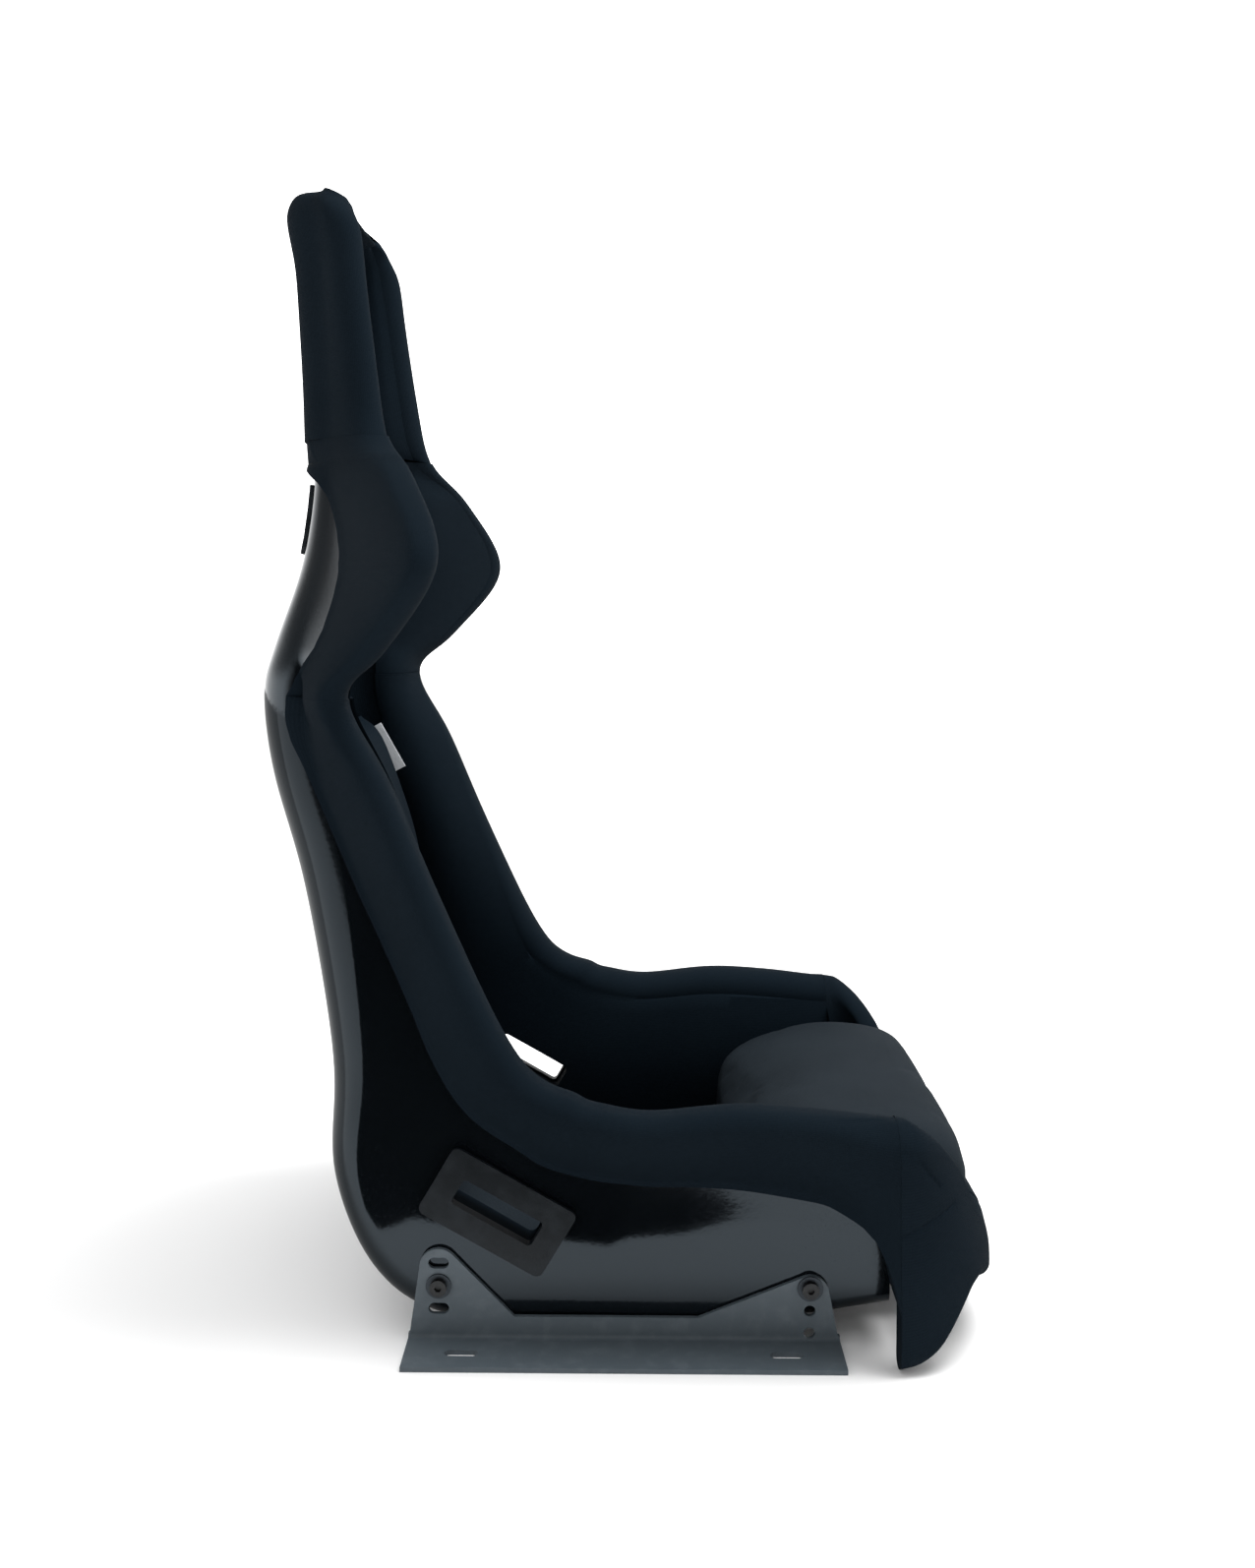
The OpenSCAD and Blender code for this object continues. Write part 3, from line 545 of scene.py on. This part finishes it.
bracket_coat = finish("bracket_coat", bracket_paint)
black_zinc = finish("black_zinc", zinc_paint, Metallic=1.0)
black_steel = finish("black_steel", bolt_paint, Metallic=0.8)
for node in ("bracket_left", "bracket_right"):
    dress(node, bracket_coat)
for node in ("mount_inserts", "mount_washers"):
    dress(node, black_zinc)
dress("mount_bolts", black_steel)


# ---- Knit covers ----
# Black three-dimensional knit bonded to foam, pulled over the rolled rim and glued down
# inside and out. It is thickest on the crest and thins to a band outside.
def knit_paint(tones, loop=0.0014, depth=0.0005):
    def paint(shade):
        spot = shade.node("ShaderNodeUVMap", {"uv_map": "cloth"})
        across = shade.node("ShaderNodeSeparateXYZ", {}, {0: spot}, 0)
        along = shade.node("ShaderNodeSeparateXYZ", {}, {0: spot}, 1)
        wale = shade.maths("PINGPONG", across * (1 / loop), 0.5) * 2
        course = shade.maths("PINGPONG", along * (1.25 / loop) + wale * 0.5, 0.5) * 2
        loops = course * 0.6 + wale * 0.4
        fuzz = shade.grain(1500.0, 2.0)
        cloud = shade.grain(9.0, 3.0)
        tone = loops * 0.35 + fuzz * 0.25 + cloud * 0.3
        return {
            "Base Color": tone.ramp(0.05, 1.1).blend(*tones),
            "Roughness": 0.82 + fuzz * 0.12,
            "Normal": (loops + fuzz * 0.5).relief(0.5, depth)}
    return paint


black_knit = finish("black_knit", knit_paint(((0.0030, 0.0064, 0.0104), (0.0102, 0.0168, 0.0232))),
                    Specular_IOR_Level=0.05)

COVER_FOOT, CROWN = 4.0, 14.0
CREST, BOLSTER, WING, BAND, HEAD = 12.0, 25.0, 22.0, 6.0, 12.0
ARC_N, CHORD_N, FOLLOW_N = 40, 14, 12
SEAM_AT = 16
# How far a cover reaches down the outside of the shell from the top of its wall, along the seat
EDGE_LINE = (
    [5, 5.5, 5.56, 5.64, 5.76, 6, 6.25, 6.5, 6.75, 7, 7.25, 7.5, 7.75, 8, 8.5, 8.75, 9, 9.25, 9.5, 10, 10.5, 11,
     11.25, 11.5, 11.75, 12, 13, 14, 15, 16, 16.25, 16.5, 17, 17.25, 17.5, 17.7, 17.8, 17.9, 17.95, 18],
    [300, 300, 182, 132, 104, 97, 98, 103, 107, 105, 94, 78, 62, 53, 49.5, 51, 55, 54, 52, 50, 47, 43.5,
     40.5, 38, 37, 38.5, 39.5, 39.5, 39.5, 37, 39, 41, 47, 50.5, 54, 60, 68, 86, 100, 118])


def foam_at(angle, foam):
    if angle > 90:
        return mix(CREST, foam, float(ease((angle - 90) / 90)))
    return mix(BAND, CREST, float(ease(angle / 90)))


def walk(line):
    """How far along a row of points each one lies."""
    return np.concatenate([[0], np.cumsum(np.linalg.norm(np.diff(line, axis=0), axis=1))])


def outside_at(s, far, gap):
    """The outside of a section, so far down from the top of its wall and round to its middle."""
    line = offset_by(half_inner(s), -WALL - gap)[RIM_I::-1]
    walked = walk(line)
    far = min(far, walked[-1] - 0.2)
    return np.array([np.interp(far, walked, line[:, 0]), np.interp(far, walked, line[:, 1])])


def wall_long(s):
    return np.linalg.norm(wall_at(s, 1) - wall_at(s, 0))


def seam_dip(distance, along):
    """How far the knit is drawn in beside a seam, puckered a little along it."""
    near = math.exp(-(distance / 1.3) ** 2)
    pull = math.exp(-(distance / 6.0) ** 2)
    pucker = math.sin(along * 41.0) * 0.6 + math.sin(along * 67.3 + 1.0) * 0.4
    return 1.0 * near + 0.4 * pull + 0.25 * pull * pucker


def smooth_line(places, values, spread):
    """A broken line through measured points, evened out into a curve."""
    grid = np.linspace(places[0], places[-1], 400)
    step = grid[1] - grid[0]
    half = int(3 * spread / step)
    kernel = np.exp(-0.5 * (np.arange(-half, half + 1) * step / spread) ** 2)
    line = np.interp(grid, places, values)
    line = np.concatenate([2 * line[0] - line[half:0:-1], line, 2 * line[-1] - line[-2:-half - 2:-1]])
    even = np.convolve(line, kernel / kernel.sum(), "valid")
    return lambda at: float(np.interp(at, grid, even))


def evened(line, rounds, count=0):
    """A row of points with its kinks rubbed out, its ends held; count spaces it out anew."""
    line = np.array(line)
    if count:
        walked = walk(line)
        even = np.linspace(0, walked[-1], count)
        line = np.stack([np.interp(even, walked, line[:, i]) for i in (0, 1)], axis=1)
    for _ in range(rounds):
        line[1:-1] = (line[:-2] + 2 * line[1:-1] + line[2:]) / 4
    return line


# Half width over the front lobes, less this much at each height; the bolsters swell to meet them
LOBE_HALF, LOBE_DEEP, LOBE_CREST = 262, 52, 188
flare_back = smooth_line([0, 15, 60, 100, 140, 165, 186, 194], [4, 1, 6, 12, 15, 16, 18, 19], 6)


def lobe_skin(z):
    """How far out the lobe's skin stands beside the shell's front edge."""
    rise = np.clip((LOBE_CREST - z) / (LOBE_DEEP / 2), 0, 1)
    inward = 0.48 * (1 - math.sqrt(1 - (1 - rise) ** 2))
    return LOBE_HALF - flare_back(z) - LOBE_DEEP * inward


def rolled_arc(s, foam, along):
    """The knit over the crest, drawn in at its sewn seam."""
    arc = []
    for i in range(ARC_N + 1):
        angle = 180 - RIM_SWEEP * i / ARC_N
        r = RIM + GAP + foam_at(angle, foam)
        arc.append(rim_at(s, angle, r - seam_dip((angle - SEAM_AT) * math.radians(r), along)))
    return arc


def taut(start, edge, steps):
    """The knit drawn down to the band's edge, with a slight belly."""
    chord = (start - edge) / max(np.linalg.norm(start - edge), 1e-6)
    bow = np.array([-chord[1], chord[0]])
    belly = 3
    return [mix(start, edge, i / steps) - belly * math.sin(math.pi * i / steps) ** 0.8 * bow
            for i in range(1, steps + 1)]


def cloth_ring(s, far, foot, foam, along):
    """A cover's closed section: the knit from its foot over the crest to its edge on the
    outside, then back along the shell."""
    p = half_inner(s)
    n = normals(p)
    first = CORNER_I + CORNER_N // 3
    outer = []
    for i in range(first, RIM_I):
        stage = 3 + (i - first) / (RIM_I - first) * 5
        thick = GAP + mix(foot, foam, float(ease((stage - 2.4) / 4)))
        outer.append(p[i] + thick * n[i])
    roll = rolled_arc(s, foam, along)
    far = min(far, walk(offset_by(p, -WALL)[RIM_I::-1])[-1] - 0.3)
    reach = 0.86 * min(far, wall_long(s))
    roll += taut(roll[-1], outside_at(s, reach, GAP + BAND), CHORD_N)
    roll += [outside_at(s, mix(reach, far, i / FOLLOW_N), GAP + BAND) for i in range(1, FOLLOW_N + 1)]
    half = ARC_N // 2
    outer += roll[:half] + list(evened(roll[half:], 8))
    swell_from, swell_over = 146, 62
    swell = float(ease((s[0] - swell_from) / swell_over)) if along > 16 else 0
    for i in range(len(outer) - len(roll) + half // 2, len(outer)):
        share = swell * min(1, (i - len(outer) + len(roll) - half // 2) / half)
        outer[i] = np.array([mix(outer[i][0], lobe_skin(s[1] + outer[i][1]), share), outer[i][1]])
    low = min(far + 0.5, far * 1.02)
    hem = [mix(outer[-1], outside_at(s, low, 1.2 * GAP), share) for share in (0.15, 0.5, 1)]
    back = [outside_at(s, far * i / 10, 1.2 * GAP if i > 8 else 3.6 * SLACK) for i in range(9, 0, -1)]
    inner = offset_by(p, GAP)[first:HALF_N + 1]
    return np.vstack([outer, hem, back, inner[::-1]])


def mirrored(piece, name):
    """The same piece on the other side of the centre plane."""
    mesh = piece.data.copy()
    mesh.name = name
    sheet = bmesh.new()
    sheet.from_mesh(mesh)
    for vert in sheet.verts:
        vert.co.y = -vert.co.y
    bmesh.ops.reverse_faces(sheet, faces=sheet.faces)
    sheet.to_mesh(mesh)
    sheet.free()
    return link(name, mesh)


def cover(name, start, end, foam):
    rings = []
    for u in np.linspace(start, end, int(round((end - start) * 24)) + 1):
        s = section(u)
        thick = mix(HEAD, foam, float(ease((u - NECK) / 1.1)))
        rings.append(place(s, cloth_ring(s, float(np.interp(u, *EDGE_LINE)), COVER_FOOT, thick, u)))
    return ring_mesh(name, rings)


def settle_piece(piece, material, body, slot, *nodes, fill=0.8):
    piece.data.materials.clear()
    piece.data.materials.append(material)
    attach(piece, body)
    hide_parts(*nodes)


wing_left = cover("wing_cover_left", NECK + 0.003, WAIST, WING)
wing_right = mirrored(wing_left, "wing_cover_right")
settle_piece(wing_left, black_knit, "seat", "black_knit", "wing_pad_left")
settle_piece(wing_right, black_knit, "seat", "black_knit", "wing_pad_right")

bolster_left = cover("side_bolster_cover_left", WAIST + 0.002, LAST, BOLSTER)
cut(bolster_left, [slot_cutter(lap_frame(1) @ Matrix.Translation((0, 0, -0.038)), 0.076, 0.027, 0.04)])
bolster_right = mirrored(bolster_left, "side_bolster_cover_right")
settle_piece(bolster_left, black_knit, "seat", "black_knit", "side_bolster_left")
settle_piece(bolster_right, black_knit, "seat", "black_knit", "side_bolster_right")

# ---- Head cover ----
# One hood of knit over the head: it lines the hollow, rolls over the side walls, and folds
# over the top to be glued down on the back.
CROWN_LINE = ([0, 0.7, 1.6, 2.6, NECK], [CROWN / 3, CROWN, CROWN, BAND, BAND])
BROW_LINE = ([0, 0.5, 1.7, NECK], [24, 24, HEAD / 2, HEAD / 2])


def head_ring(u, full=1.0, lift=0.0):
    """The hood's section. full shrinks its thickness where it closes over the top."""
    s = section(u)
    p = half_inner(s)
    n = normals(p)
    pad = GAP + float(np.interp(u, *CROWN_LINE)) * full
    brow = float(np.interp(u, *BROW_LINE)) * full
    foam = HEAD * full
    outer = []
    for i in range(RIM_I):
        stage = i / CORNER_I * 2 if i < CORNER_I else 2 + (i - CORNER_I) / (RIM_I - CORNER_I) * 6
        outer.append(p[i] + (GAP + mix(brow, foam, float(ease((stage - 2.4) / 4)))) * n[i])
    side = []
    for i in range(ARC_N + 1):
        angle = 180 - RIM_SWEEP * i / ARC_N
        r = RIM + GAP + foam_at(angle, foam) * mix(0.4, 1, full)
        side.append(rim_at(s, angle, r - 0.3 * full * seam_dip((angle - SEAM_AT) * math.radians(r), u)))
    wall = wall_long(s)
    side += taut(side[-1], outside_at(s, 0.8 * wall, pad), 12)
    middle = walk(offset_by(p, -WALL - pad)[RIM_I::-1])[-1]
    side += [outside_at(s, mix(0.8 * wall, middle, i / 24), pad) for i in range(1, 24)]
    side.append(floor_at(s, 0) - (0, WALL + pad))
    outer += list(evened(side, 14, 84))
    under = [floor_at(s, floor_end(s) * i / 8) - (0, WALL + GAP) for i in range(1, 8)]
    under += [outside_at(s, wall * i / 10, GAP if i > 7 else 3.6 * SLACK) for i in range(12, 0, -1)]
    under += list(offset_by(p, GAP)[::-1])
    outer, under = np.array(outer), np.array(under)
    ring = place(s, np.vstack([outer[::-1] * (-1, 1), outer[1:], under, (under[::-1] * (-1, 1))[1:]]))
    turn = math.radians(s[2])
    return ring + np.array([-math.sin(turn), 0, math.cos(turn)]) * lift / 1000


head_rings = [head_ring(0, full, lift) for full, lift in ((0.25, 2.6), (0.45, 1.9), (0.62, 0.9))]
for u in np.linspace(0, NECK, NECK * 16 + 1):
    head_rings.append(head_ring(u, mix(0.74, 1.0, math.sin(math.pi / 2 * min(u / 0.4, 1)))))
head_rings = np.array(head_rings)
for _ in range(24):
    head_rings[1:-1] = (head_rings[:-2] + 2 * head_rings[1:-1] + head_rings[2:]) / 4
head = ring_mesh("head_hood", head_rings)
settle_piece(head, black_knit, "seat", "black_knit", "head_cover")


# ---- Lobes and nose ----
# Foam blocks in the same knit that round off the front of the pan. The lobes wrap its corners
# and hang below it, and the nose closes the front between them.
FRONT = 208.4
NOSE_X, NOSE_TOP, NOSE_LOW, NOSE_HALF, NOSE_PAD = 297, 104, 34, 150, 24
NOSE_LINE = ([0, 10, 22, 34, 50, 72, 104, 140, 165, 186], [8, 4, 3, 2, 2, 3, 12, 25, 37, 50])
LOBE_LOW = ([0, 24, 34, 46, 57, 67, 78, 90], [34, 49, 56, 52, 34, 15, 5, 1.5])
LOBE_TOP = ([0, 24, 34, 46, 57, 67, 90], [104, 104, 152, 173, 182, 186.5, LOBE_CREST])
nose_back = smooth_line(*NOSE_LINE, 5)
lobe_low = smooth_line(*LOBE_LOW, 3)
lobe_top = smooth_line(*LOBE_TOP, 4)
# Sewn seams on a lobe, as turns round the corner in degrees and heights in millimetres
LOBE_SEAMS = (((90, 172), (74, 160), (62, 141)), ((90, 106), (70, 118), (52, 124)))


def near_seam(a, z):
    """Distance in millimetres from the nearest seam of the lobe."""
    per_degree = 1.35
    here = np.array([a * per_degree, z])
    best = 1e3
    for line in LOBE_SEAMS:
        for start, end in zip(line, line[1:]):
            start, end = np.array(start) * (per_degree, 1), np.array(end) * (per_degree, 1)
            share = np.clip(np.dot(here - start, end - start) / np.dot(end - start, end - start), 0, 1)
            best = min(best, float(np.linalg.norm(here - mix(start, end, share))))
    return best


def lobe_thick(a, z):
    return mix(NOSE_PAD, LOBE_DEEP, float(ease((a - 30) / 60) * ease((z - NOSE_TOP + 20) / 40)))


def lobe_point(a, z, share):
    deep = share * lobe_thick(a, z)
    if share < 0.1:
        deep += seam_dip(near_seam(a, z), a * 0.1)
    turn = math.radians(a)
    root = FRONT - 0.2 - max(0, z - 34) * 0.0174 * float(ease((a - 70) / 20))
    return (root + max(0, NOSE_X - nose_back(z) - FRONT - deep) * math.cos(turn),
            NOSE_HALF + GAP + (LOBE_HALF - flare_back(z) - NOSE_HALF - GAP - deep) * math.sin(turn), z)


def lobe_side(a, side):
    low, top = lobe_low(a), lobe_top(a)
    tip, crest = NOSE_PAD / 2, lobe_thick(a, top) / 2
    line = []
    for i in range(10):
        q = math.pi / 2 * i / 10
        line.append(lobe_point(a, low + tip * (1 - math.cos(q)), 0.5 + side * (0.02 + 0.48 * math.sin(q))))
    line += [lobe_point(a, mix(low + tip, top - crest, i / 80), 0.5 + side * 0.5) for i in range(81)]
    for i in range(1, 11):
        q = math.pi / 2 * i / 10
        line.append(lobe_point(a, top - crest * (1 - math.sin(q)), 0.5 + side * (0.02 + 0.48 * math.cos(q))))
    return line


lobe_rings = [np.array(lobe_side(a, 1) + lobe_side(a, -1)[::-1]) / 1000 for a in np.linspace(0, 90, 91)]
lobe_left = ring_mesh("lobe_left_cover", lobe_rings)
lobe_right = mirrored(lobe_left, "lobe_right_cover")
settle_piece(lobe_left, black_knit, "seat", "black_knit", "lobe_left")
settle_piece(lobe_right, black_knit, "seat", "black_knit", "lobe_right")


def arch(y):
    return NOSE_LOW + 14 * math.cos(math.pi / 2 * min(1, abs(y) / NOSE_HALF)) ** 2


nose_rings = []
for y in np.linspace(-NOSE_HALF, NOSE_HALF, 61):
    low = arch(y)
    ring = []
    for i in range(31):
        f = i / 30
        edge = 7 * (max(0, 1 - f * 8) ** 2 + max(0, 1 - (1 - f) * 8) ** 2)
        z = mix(low, NOSE_TOP, f)
        ring.append((NOSE_X - nose_back(z) - edge, y, z))
    for x, z in ((FRONT, NOSE_TOP), (FRONT, low - 6), (FRONT + 20, low + 10), (NOSE_X - 34, low + 20),
                 (NOSE_X - 24, low + 8), (NOSE_X - 16, low)):
        ring.append((x, y, z))
    nose_rings.append(np.array(ring) / 1000)
nose = ring_mesh("nose_padding", nose_rings)
settle_piece(nose, black_knit, "seat", "black_knit", "nose_cover")


# ---- Back, pan and head pads ----
# Foam pads glued to the shell and crowned by their own foam: the back's in the black knit,
# the pan's and the head's in a smoother charcoal cloth.
def weave_paint(tones, thread=0.0011):
    def paint(shade):
        spot = shade.node("ShaderNodeUVMap", {"uv_map": "cloth"})
        across = shade.node("ShaderNodeSeparateXYZ", {}, {0: spot}, 0)
        along = shade.node("ShaderNodeSeparateXYZ", {}, {0: spot}, 1)
        warp = shade.maths("PINGPONG", across * (1 / thread), 0.5) * 2
        weft = shade.maths("PINGPONG", along * (1 / thread) + 0.25, 0.5) * 2
        check = shade.maths("MAXIMUM", warp, weft)
        fuzz = shade.grain(1300.0, 2.0)
        cloud = shade.grain(11.0, 3.0)
        tone = check * 0.35 + fuzz * 0.3 + cloud * 0.35
        return {
            "Base Color": tone.ramp(0.2, 0.9).blend(*tones),
            "Roughness": 0.80 + fuzz * 0.12,
            "Normal": (check + fuzz * 0.4).relief(0.45, 0.0004)}
    return paint


charcoal_cloth = finish("charcoal_cloth", weave_paint(((0.0075, 0.0108, 0.0140), (0.0215, 0.0285, 0.0355))),
                        Specular_IOR_Level=0.06)
BACK_PAD, LUMBAR, STRIP = 20.0, 46.0, 2.0
PAN_END = 16 + (62 + 40) / 130
LUMBAR_FROM, LUMBAR_TO = WAIST + 40 / 63, 11.6
LUMBAR_LOW = BACK_PAD + SLACK + 2 * GAP + STRIP


def plump(t, corner=3.2):
    return max(0.0, 1 - abs(t) ** corner) ** 0.5


def pad_rings(start, end, inset, low, rise, floor_rise=0.30, steps=44, across=40, corner=3.2):
    """A crowned pad on the floor of the shell, inset from the corners of its sections."""
    rings = []
    for a in np.sin(np.linspace(-math.pi / 2, math.pi / 2, steps)):
        u = mix(start, end, (a + 1) / 2)
        s = section(u)
        half = floor_end(s) - inset
        top, base = [], []
        for c in np.sin(np.linspace(-math.pi / 2, math.pi / 2, across)):
            full = plump(a, corner * 2) * plump(c, corner * 2)
            crown = rise * (floor_rise * full + (1 - floor_rise) * plump(a, corner) * plump(c, corner))
            spot = floor_at(s, c * half)
            belly = min(rise * 0.22, 6) * (1 - full)
            top.append(spot + (0, low + belly + crown * (1 - min(rise * 0.22, 6) / rise)))
            base.append(spot + (0, low + belly))
        rings.append(place(s, np.vstack([top, base[::-1][1:-1]])))
    return rings


def lay_cloth(piece):
    """Lays the cloth on a piece in metres, from whichever side it faces most."""
    mesh = piece.data
    laid = mesh.uv_layers.get("cloth") or mesh.uv_layers.new(name="cloth")
    for face in mesh.polygons:
        face.use_smooth = True
        facing = max(range(3), key=lambda i: abs(face.normal[i]))
        for corner in face.loop_indices:
            spot = mesh.vertices[mesh.loops[corner].vertex_index].co
            laid.data[corner].uv = [spot[i] for i in (1, 0, 2) if i != facing]


def stuffed(piece, facing, most, cell=0.005):
    """Swells a pad as foam does in its cover: a cloth simulation under pressure, held on the
    side that rests on something and let out no further than most anywhere."""
    even = piece.modifiers.new("even", "REMESH")
    even.mode = "VOXEL"
    even.voxel_size = cell
    settle(piece)
    mesh = piece.data
    rest = np.empty(len(mesh.vertices) * 3)
    mesh.vertices.foreach_get("co", rest)
    rest = rest.reshape(-1, 3)
    outward = np.array([vert.normal[:] for vert in mesh.vertices])
    cloth = piece.modifiers.new("stuffing", "CLOTH")
    cloth.settings.use_pressure = True
    cloth.settings.uniform_pressure_force = 4.0
    cloth.settings.effector_weights.gravity = 0
    cloth.collision_settings.use_collision = False
    cloth.point_cache.frame_start, cloth.point_cache.frame_end = 1, 20
    for step in range(1, 21):
        scene.frame_set(step)
    swollen = piece.evaluated_get(bpy.context.evaluated_depsgraph_get()).data
    moved = np.array([vert.co[:] for vert in swollen.vertices]) - rest
    piece.modifiers.clear()
    scene.frame_set(1)
    far = np.maximum(np.linalg.norm(moved, axis=1), 1e-9)
    free = ease((outward @ np.array(facing) + 0.3) / 0.7)
    moved *= (np.minimum(far, most) / far * free)[:, None]
    mesh.vertices.foreach_set("co", (rest + moved).ravel())
    finer = piece.modifiers.new("finer", "SUBSURF")
    finer.levels = finer.render_levels = 1
    settle(piece)
    lay_cloth(piece)


def pad(name, *shape, **more):
    return ring_mesh(name, pad_rings(*shape, **more))


back_pad = pad("back_padding", NECK + 2, 13 + 1 / 3, 4, SLACK, BACK_PAD)
settle_piece(back_pad, black_knit, "seat", "black_knit", "back_pad")
head_pad = pad("head_padding", 2.4, NECK - 0.4, 15, 2 * GAP + HEAD / 2, 12.0)
stuffed(head_pad, (1, 0, 0), 0.002, 0.004)
settle_piece(head_pad, charcoal_cloth, "seat", "charcoal_cloth", "head_cushion")
pan_pad = pad("pan_padding", 14.4, PAN_END, 8.5, SLACK, 64.0, floor_rise=0.7)
stuffed(pan_pad, (0, 0, 1), 0.002)
settle_piece(pan_pad, charcoal_cloth, "seat", "charcoal_cloth", "pan_pad")

# ---- Lumbar cushion ----
# A loose foam cushion in black knit that lies on hook strips in the small of the back, with a
# blank woven tag sewn to its side.
def hook_paint(shade):
    hooks = shade.grain(1800.0, 1.0)
    lint = shade.grain(120.0, 4.0).ramp(0.6, 0.8)
    return {
        "Base Color": (hooks * 0.5 + lint * 0.4).blend((0.003, 0.0035, 0.004), (0.014, 0.015, 0.017)),
        "Roughness": 0.55 + hooks * 0.3,
        "Normal": hooks.relief(0.6, 0.0006)}


def tag_paint(shade):
    rib = shade.maths("PINGPONG", shade.node("ShaderNodeSeparateXYZ", {}, {
        0: shade.node("ShaderNodeUVMap", {"uv_map": "cloth"})}, 1) * 1400.0, 0.5) * 2
    soil = shade.grain(90.0, 4.0)
    return {
        "Base Color": (rib * 0.4 + soil * 0.6).blend((0.56, 0.59, 0.62), (0.74, 0.76, 0.78)),
        "Roughness": 0.7 + soil * 0.2,
        "Normal": (rib + soil * 0.2).relief(0.3, 0.0003)}


def made_from(node, name, rounding):
    """A piece with the form of a solid, its doubled points merged and its edges softened."""
    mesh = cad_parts[node].data.copy()
    mesh.name = name
    body = bmesh.new()
    body.from_mesh(mesh)
    bmesh.ops.remove_doubles(body, verts=body.verts, dist=2e-6)
    bmesh.ops.recalc_face_normals(body, faces=body.faces)
    bmesh.ops.dissolve_limit(body, angle_limit=0.01, verts=body.verts, edges=body.edges)
    corners = [edge for edge in body.edges if edge.calc_face_angle(0) > 0.7]
    bmesh.ops.bevel(body, geom=corners, offset=rounding, segments=3, profile=0.6, affect="EDGES",
                    clamp_overlap=True)
    body.to_mesh(mesh)
    body.free()
    made = link(name, mesh)
    lay_cloth(made)
    return made


def tape(node, name, body):
    made = made_from(node, name, 0.0005)
    made.data.materials.clear()
    made.data.materials.append(hook_strip)
    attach(made, body)
    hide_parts(node)


hook_strip = finish("hook_strip", hook_paint)
tag_cloth = finish("tag_cloth", tag_paint, Specular_IOR_Level=0.2)
lumbar = pad("lumbar_padding", LUMBAR_FROM, LUMBAR_TO, 10, LUMBAR_LOW, LUMBAR - 3)
stuffed(lumbar, (1, 0, 0), 0.003)
settle_piece(lumbar, black_knit, "lumbar", "black_knit", "lumbar_cushion")
tape("lumbar_strips", "lumbar_hook_tape", "lumbar")
tag = made_from("blank_tag", "woven_tag", 0.0003)
tag.data.materials.clear()
tag.data.materials.append(tag_cloth)
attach(tag, "lumbar")
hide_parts("blank_tag")

# ---- Thigh cushion ----
# A loose wedge in charcoal cloth on the front of the pan, held by two hook strips.
FLOOR_LINE = [section(LAST - back) for back in (0.98, 0.67, 0.33, 0)]
OVER_FLOOR, THIGH_HALF = 2.4, 170
LOW_LINE = [(94, FLOOR_LINE[0][1] + OVER_FLOOR)]
LOW_LINE += [(s[0] - (1 if i == 2 else 0), s[1] + OVER_FLOOR) for i, s in enumerate(FLOOR_LINE[1:])]
LOW_LINE += [(x, 104.4) for x in (207.4, 238, 257, 279)]
HIGH_LINE = [(90, FLOOR_LINE[0][1] + 10.4), (88, 90), (95, 119), (124, 140), (180, 157), (235, 157),
             (271, 146), (284, 116)]


def curve_through(points, steps):
    """A smooth line through points, as evenly spaced points."""
    points = np.array(points, dtype=float)
    padded = np.vstack([2 * points[0] - points[1], points, 2 * points[-1] - points[-2]])
    line = []
    for k in range(len(points) - 1):
        a, b, c, d = padded[k:k + 4]
        for t in np.linspace(0, 1, 24, endpoint=False):
            line.append(0.5 * (2 * b + (c - a) * t + (2 * a - 5 * b + 4 * c - d) * t ** 2
                               + (3 * b - a - 3 * c + d) * t ** 3))
    return evened(line + [points[-1]], 0, steps)


high = curve_through(HIGH_LINE, 60)
low = np.array(LOW_LINE)
low = np.vstack([np.linspace(start, end, 8, endpoint=False) for start, end in zip(low, low[1:])] + [low[-1:]])
middle = np.array([190.0, 97.0])
thigh_rings = []
for t in np.sin(np.linspace(-math.pi / 2, math.pi / 2, 64)):
    drawn = 1 - 0.16 * abs(t) ** 14 - 0.06 * abs(t) ** 4
    top = middle + (high - middle) * drawn
    ring = np.vstack([low, top[::-1]])
    side = t * THIGH_HALF * (1 - 0.012 * (1 - t * t))
    ring = np.stack([ring[:, 0], np.full(len(ring), side), ring[:, 1]], axis=1)
    thigh_rings.append(ring / 1000)
thigh = ring_mesh("thigh_padding", thigh_rings)
stuffed(thigh, (0.3, 0, 1), 0.003)
settle_piece(thigh, charcoal_cloth, "thigh", "charcoal_cloth", "thigh_cushion")
tape("thigh_strips", "thigh_hook_tape", "thigh")

scene.view_layers[0].update()
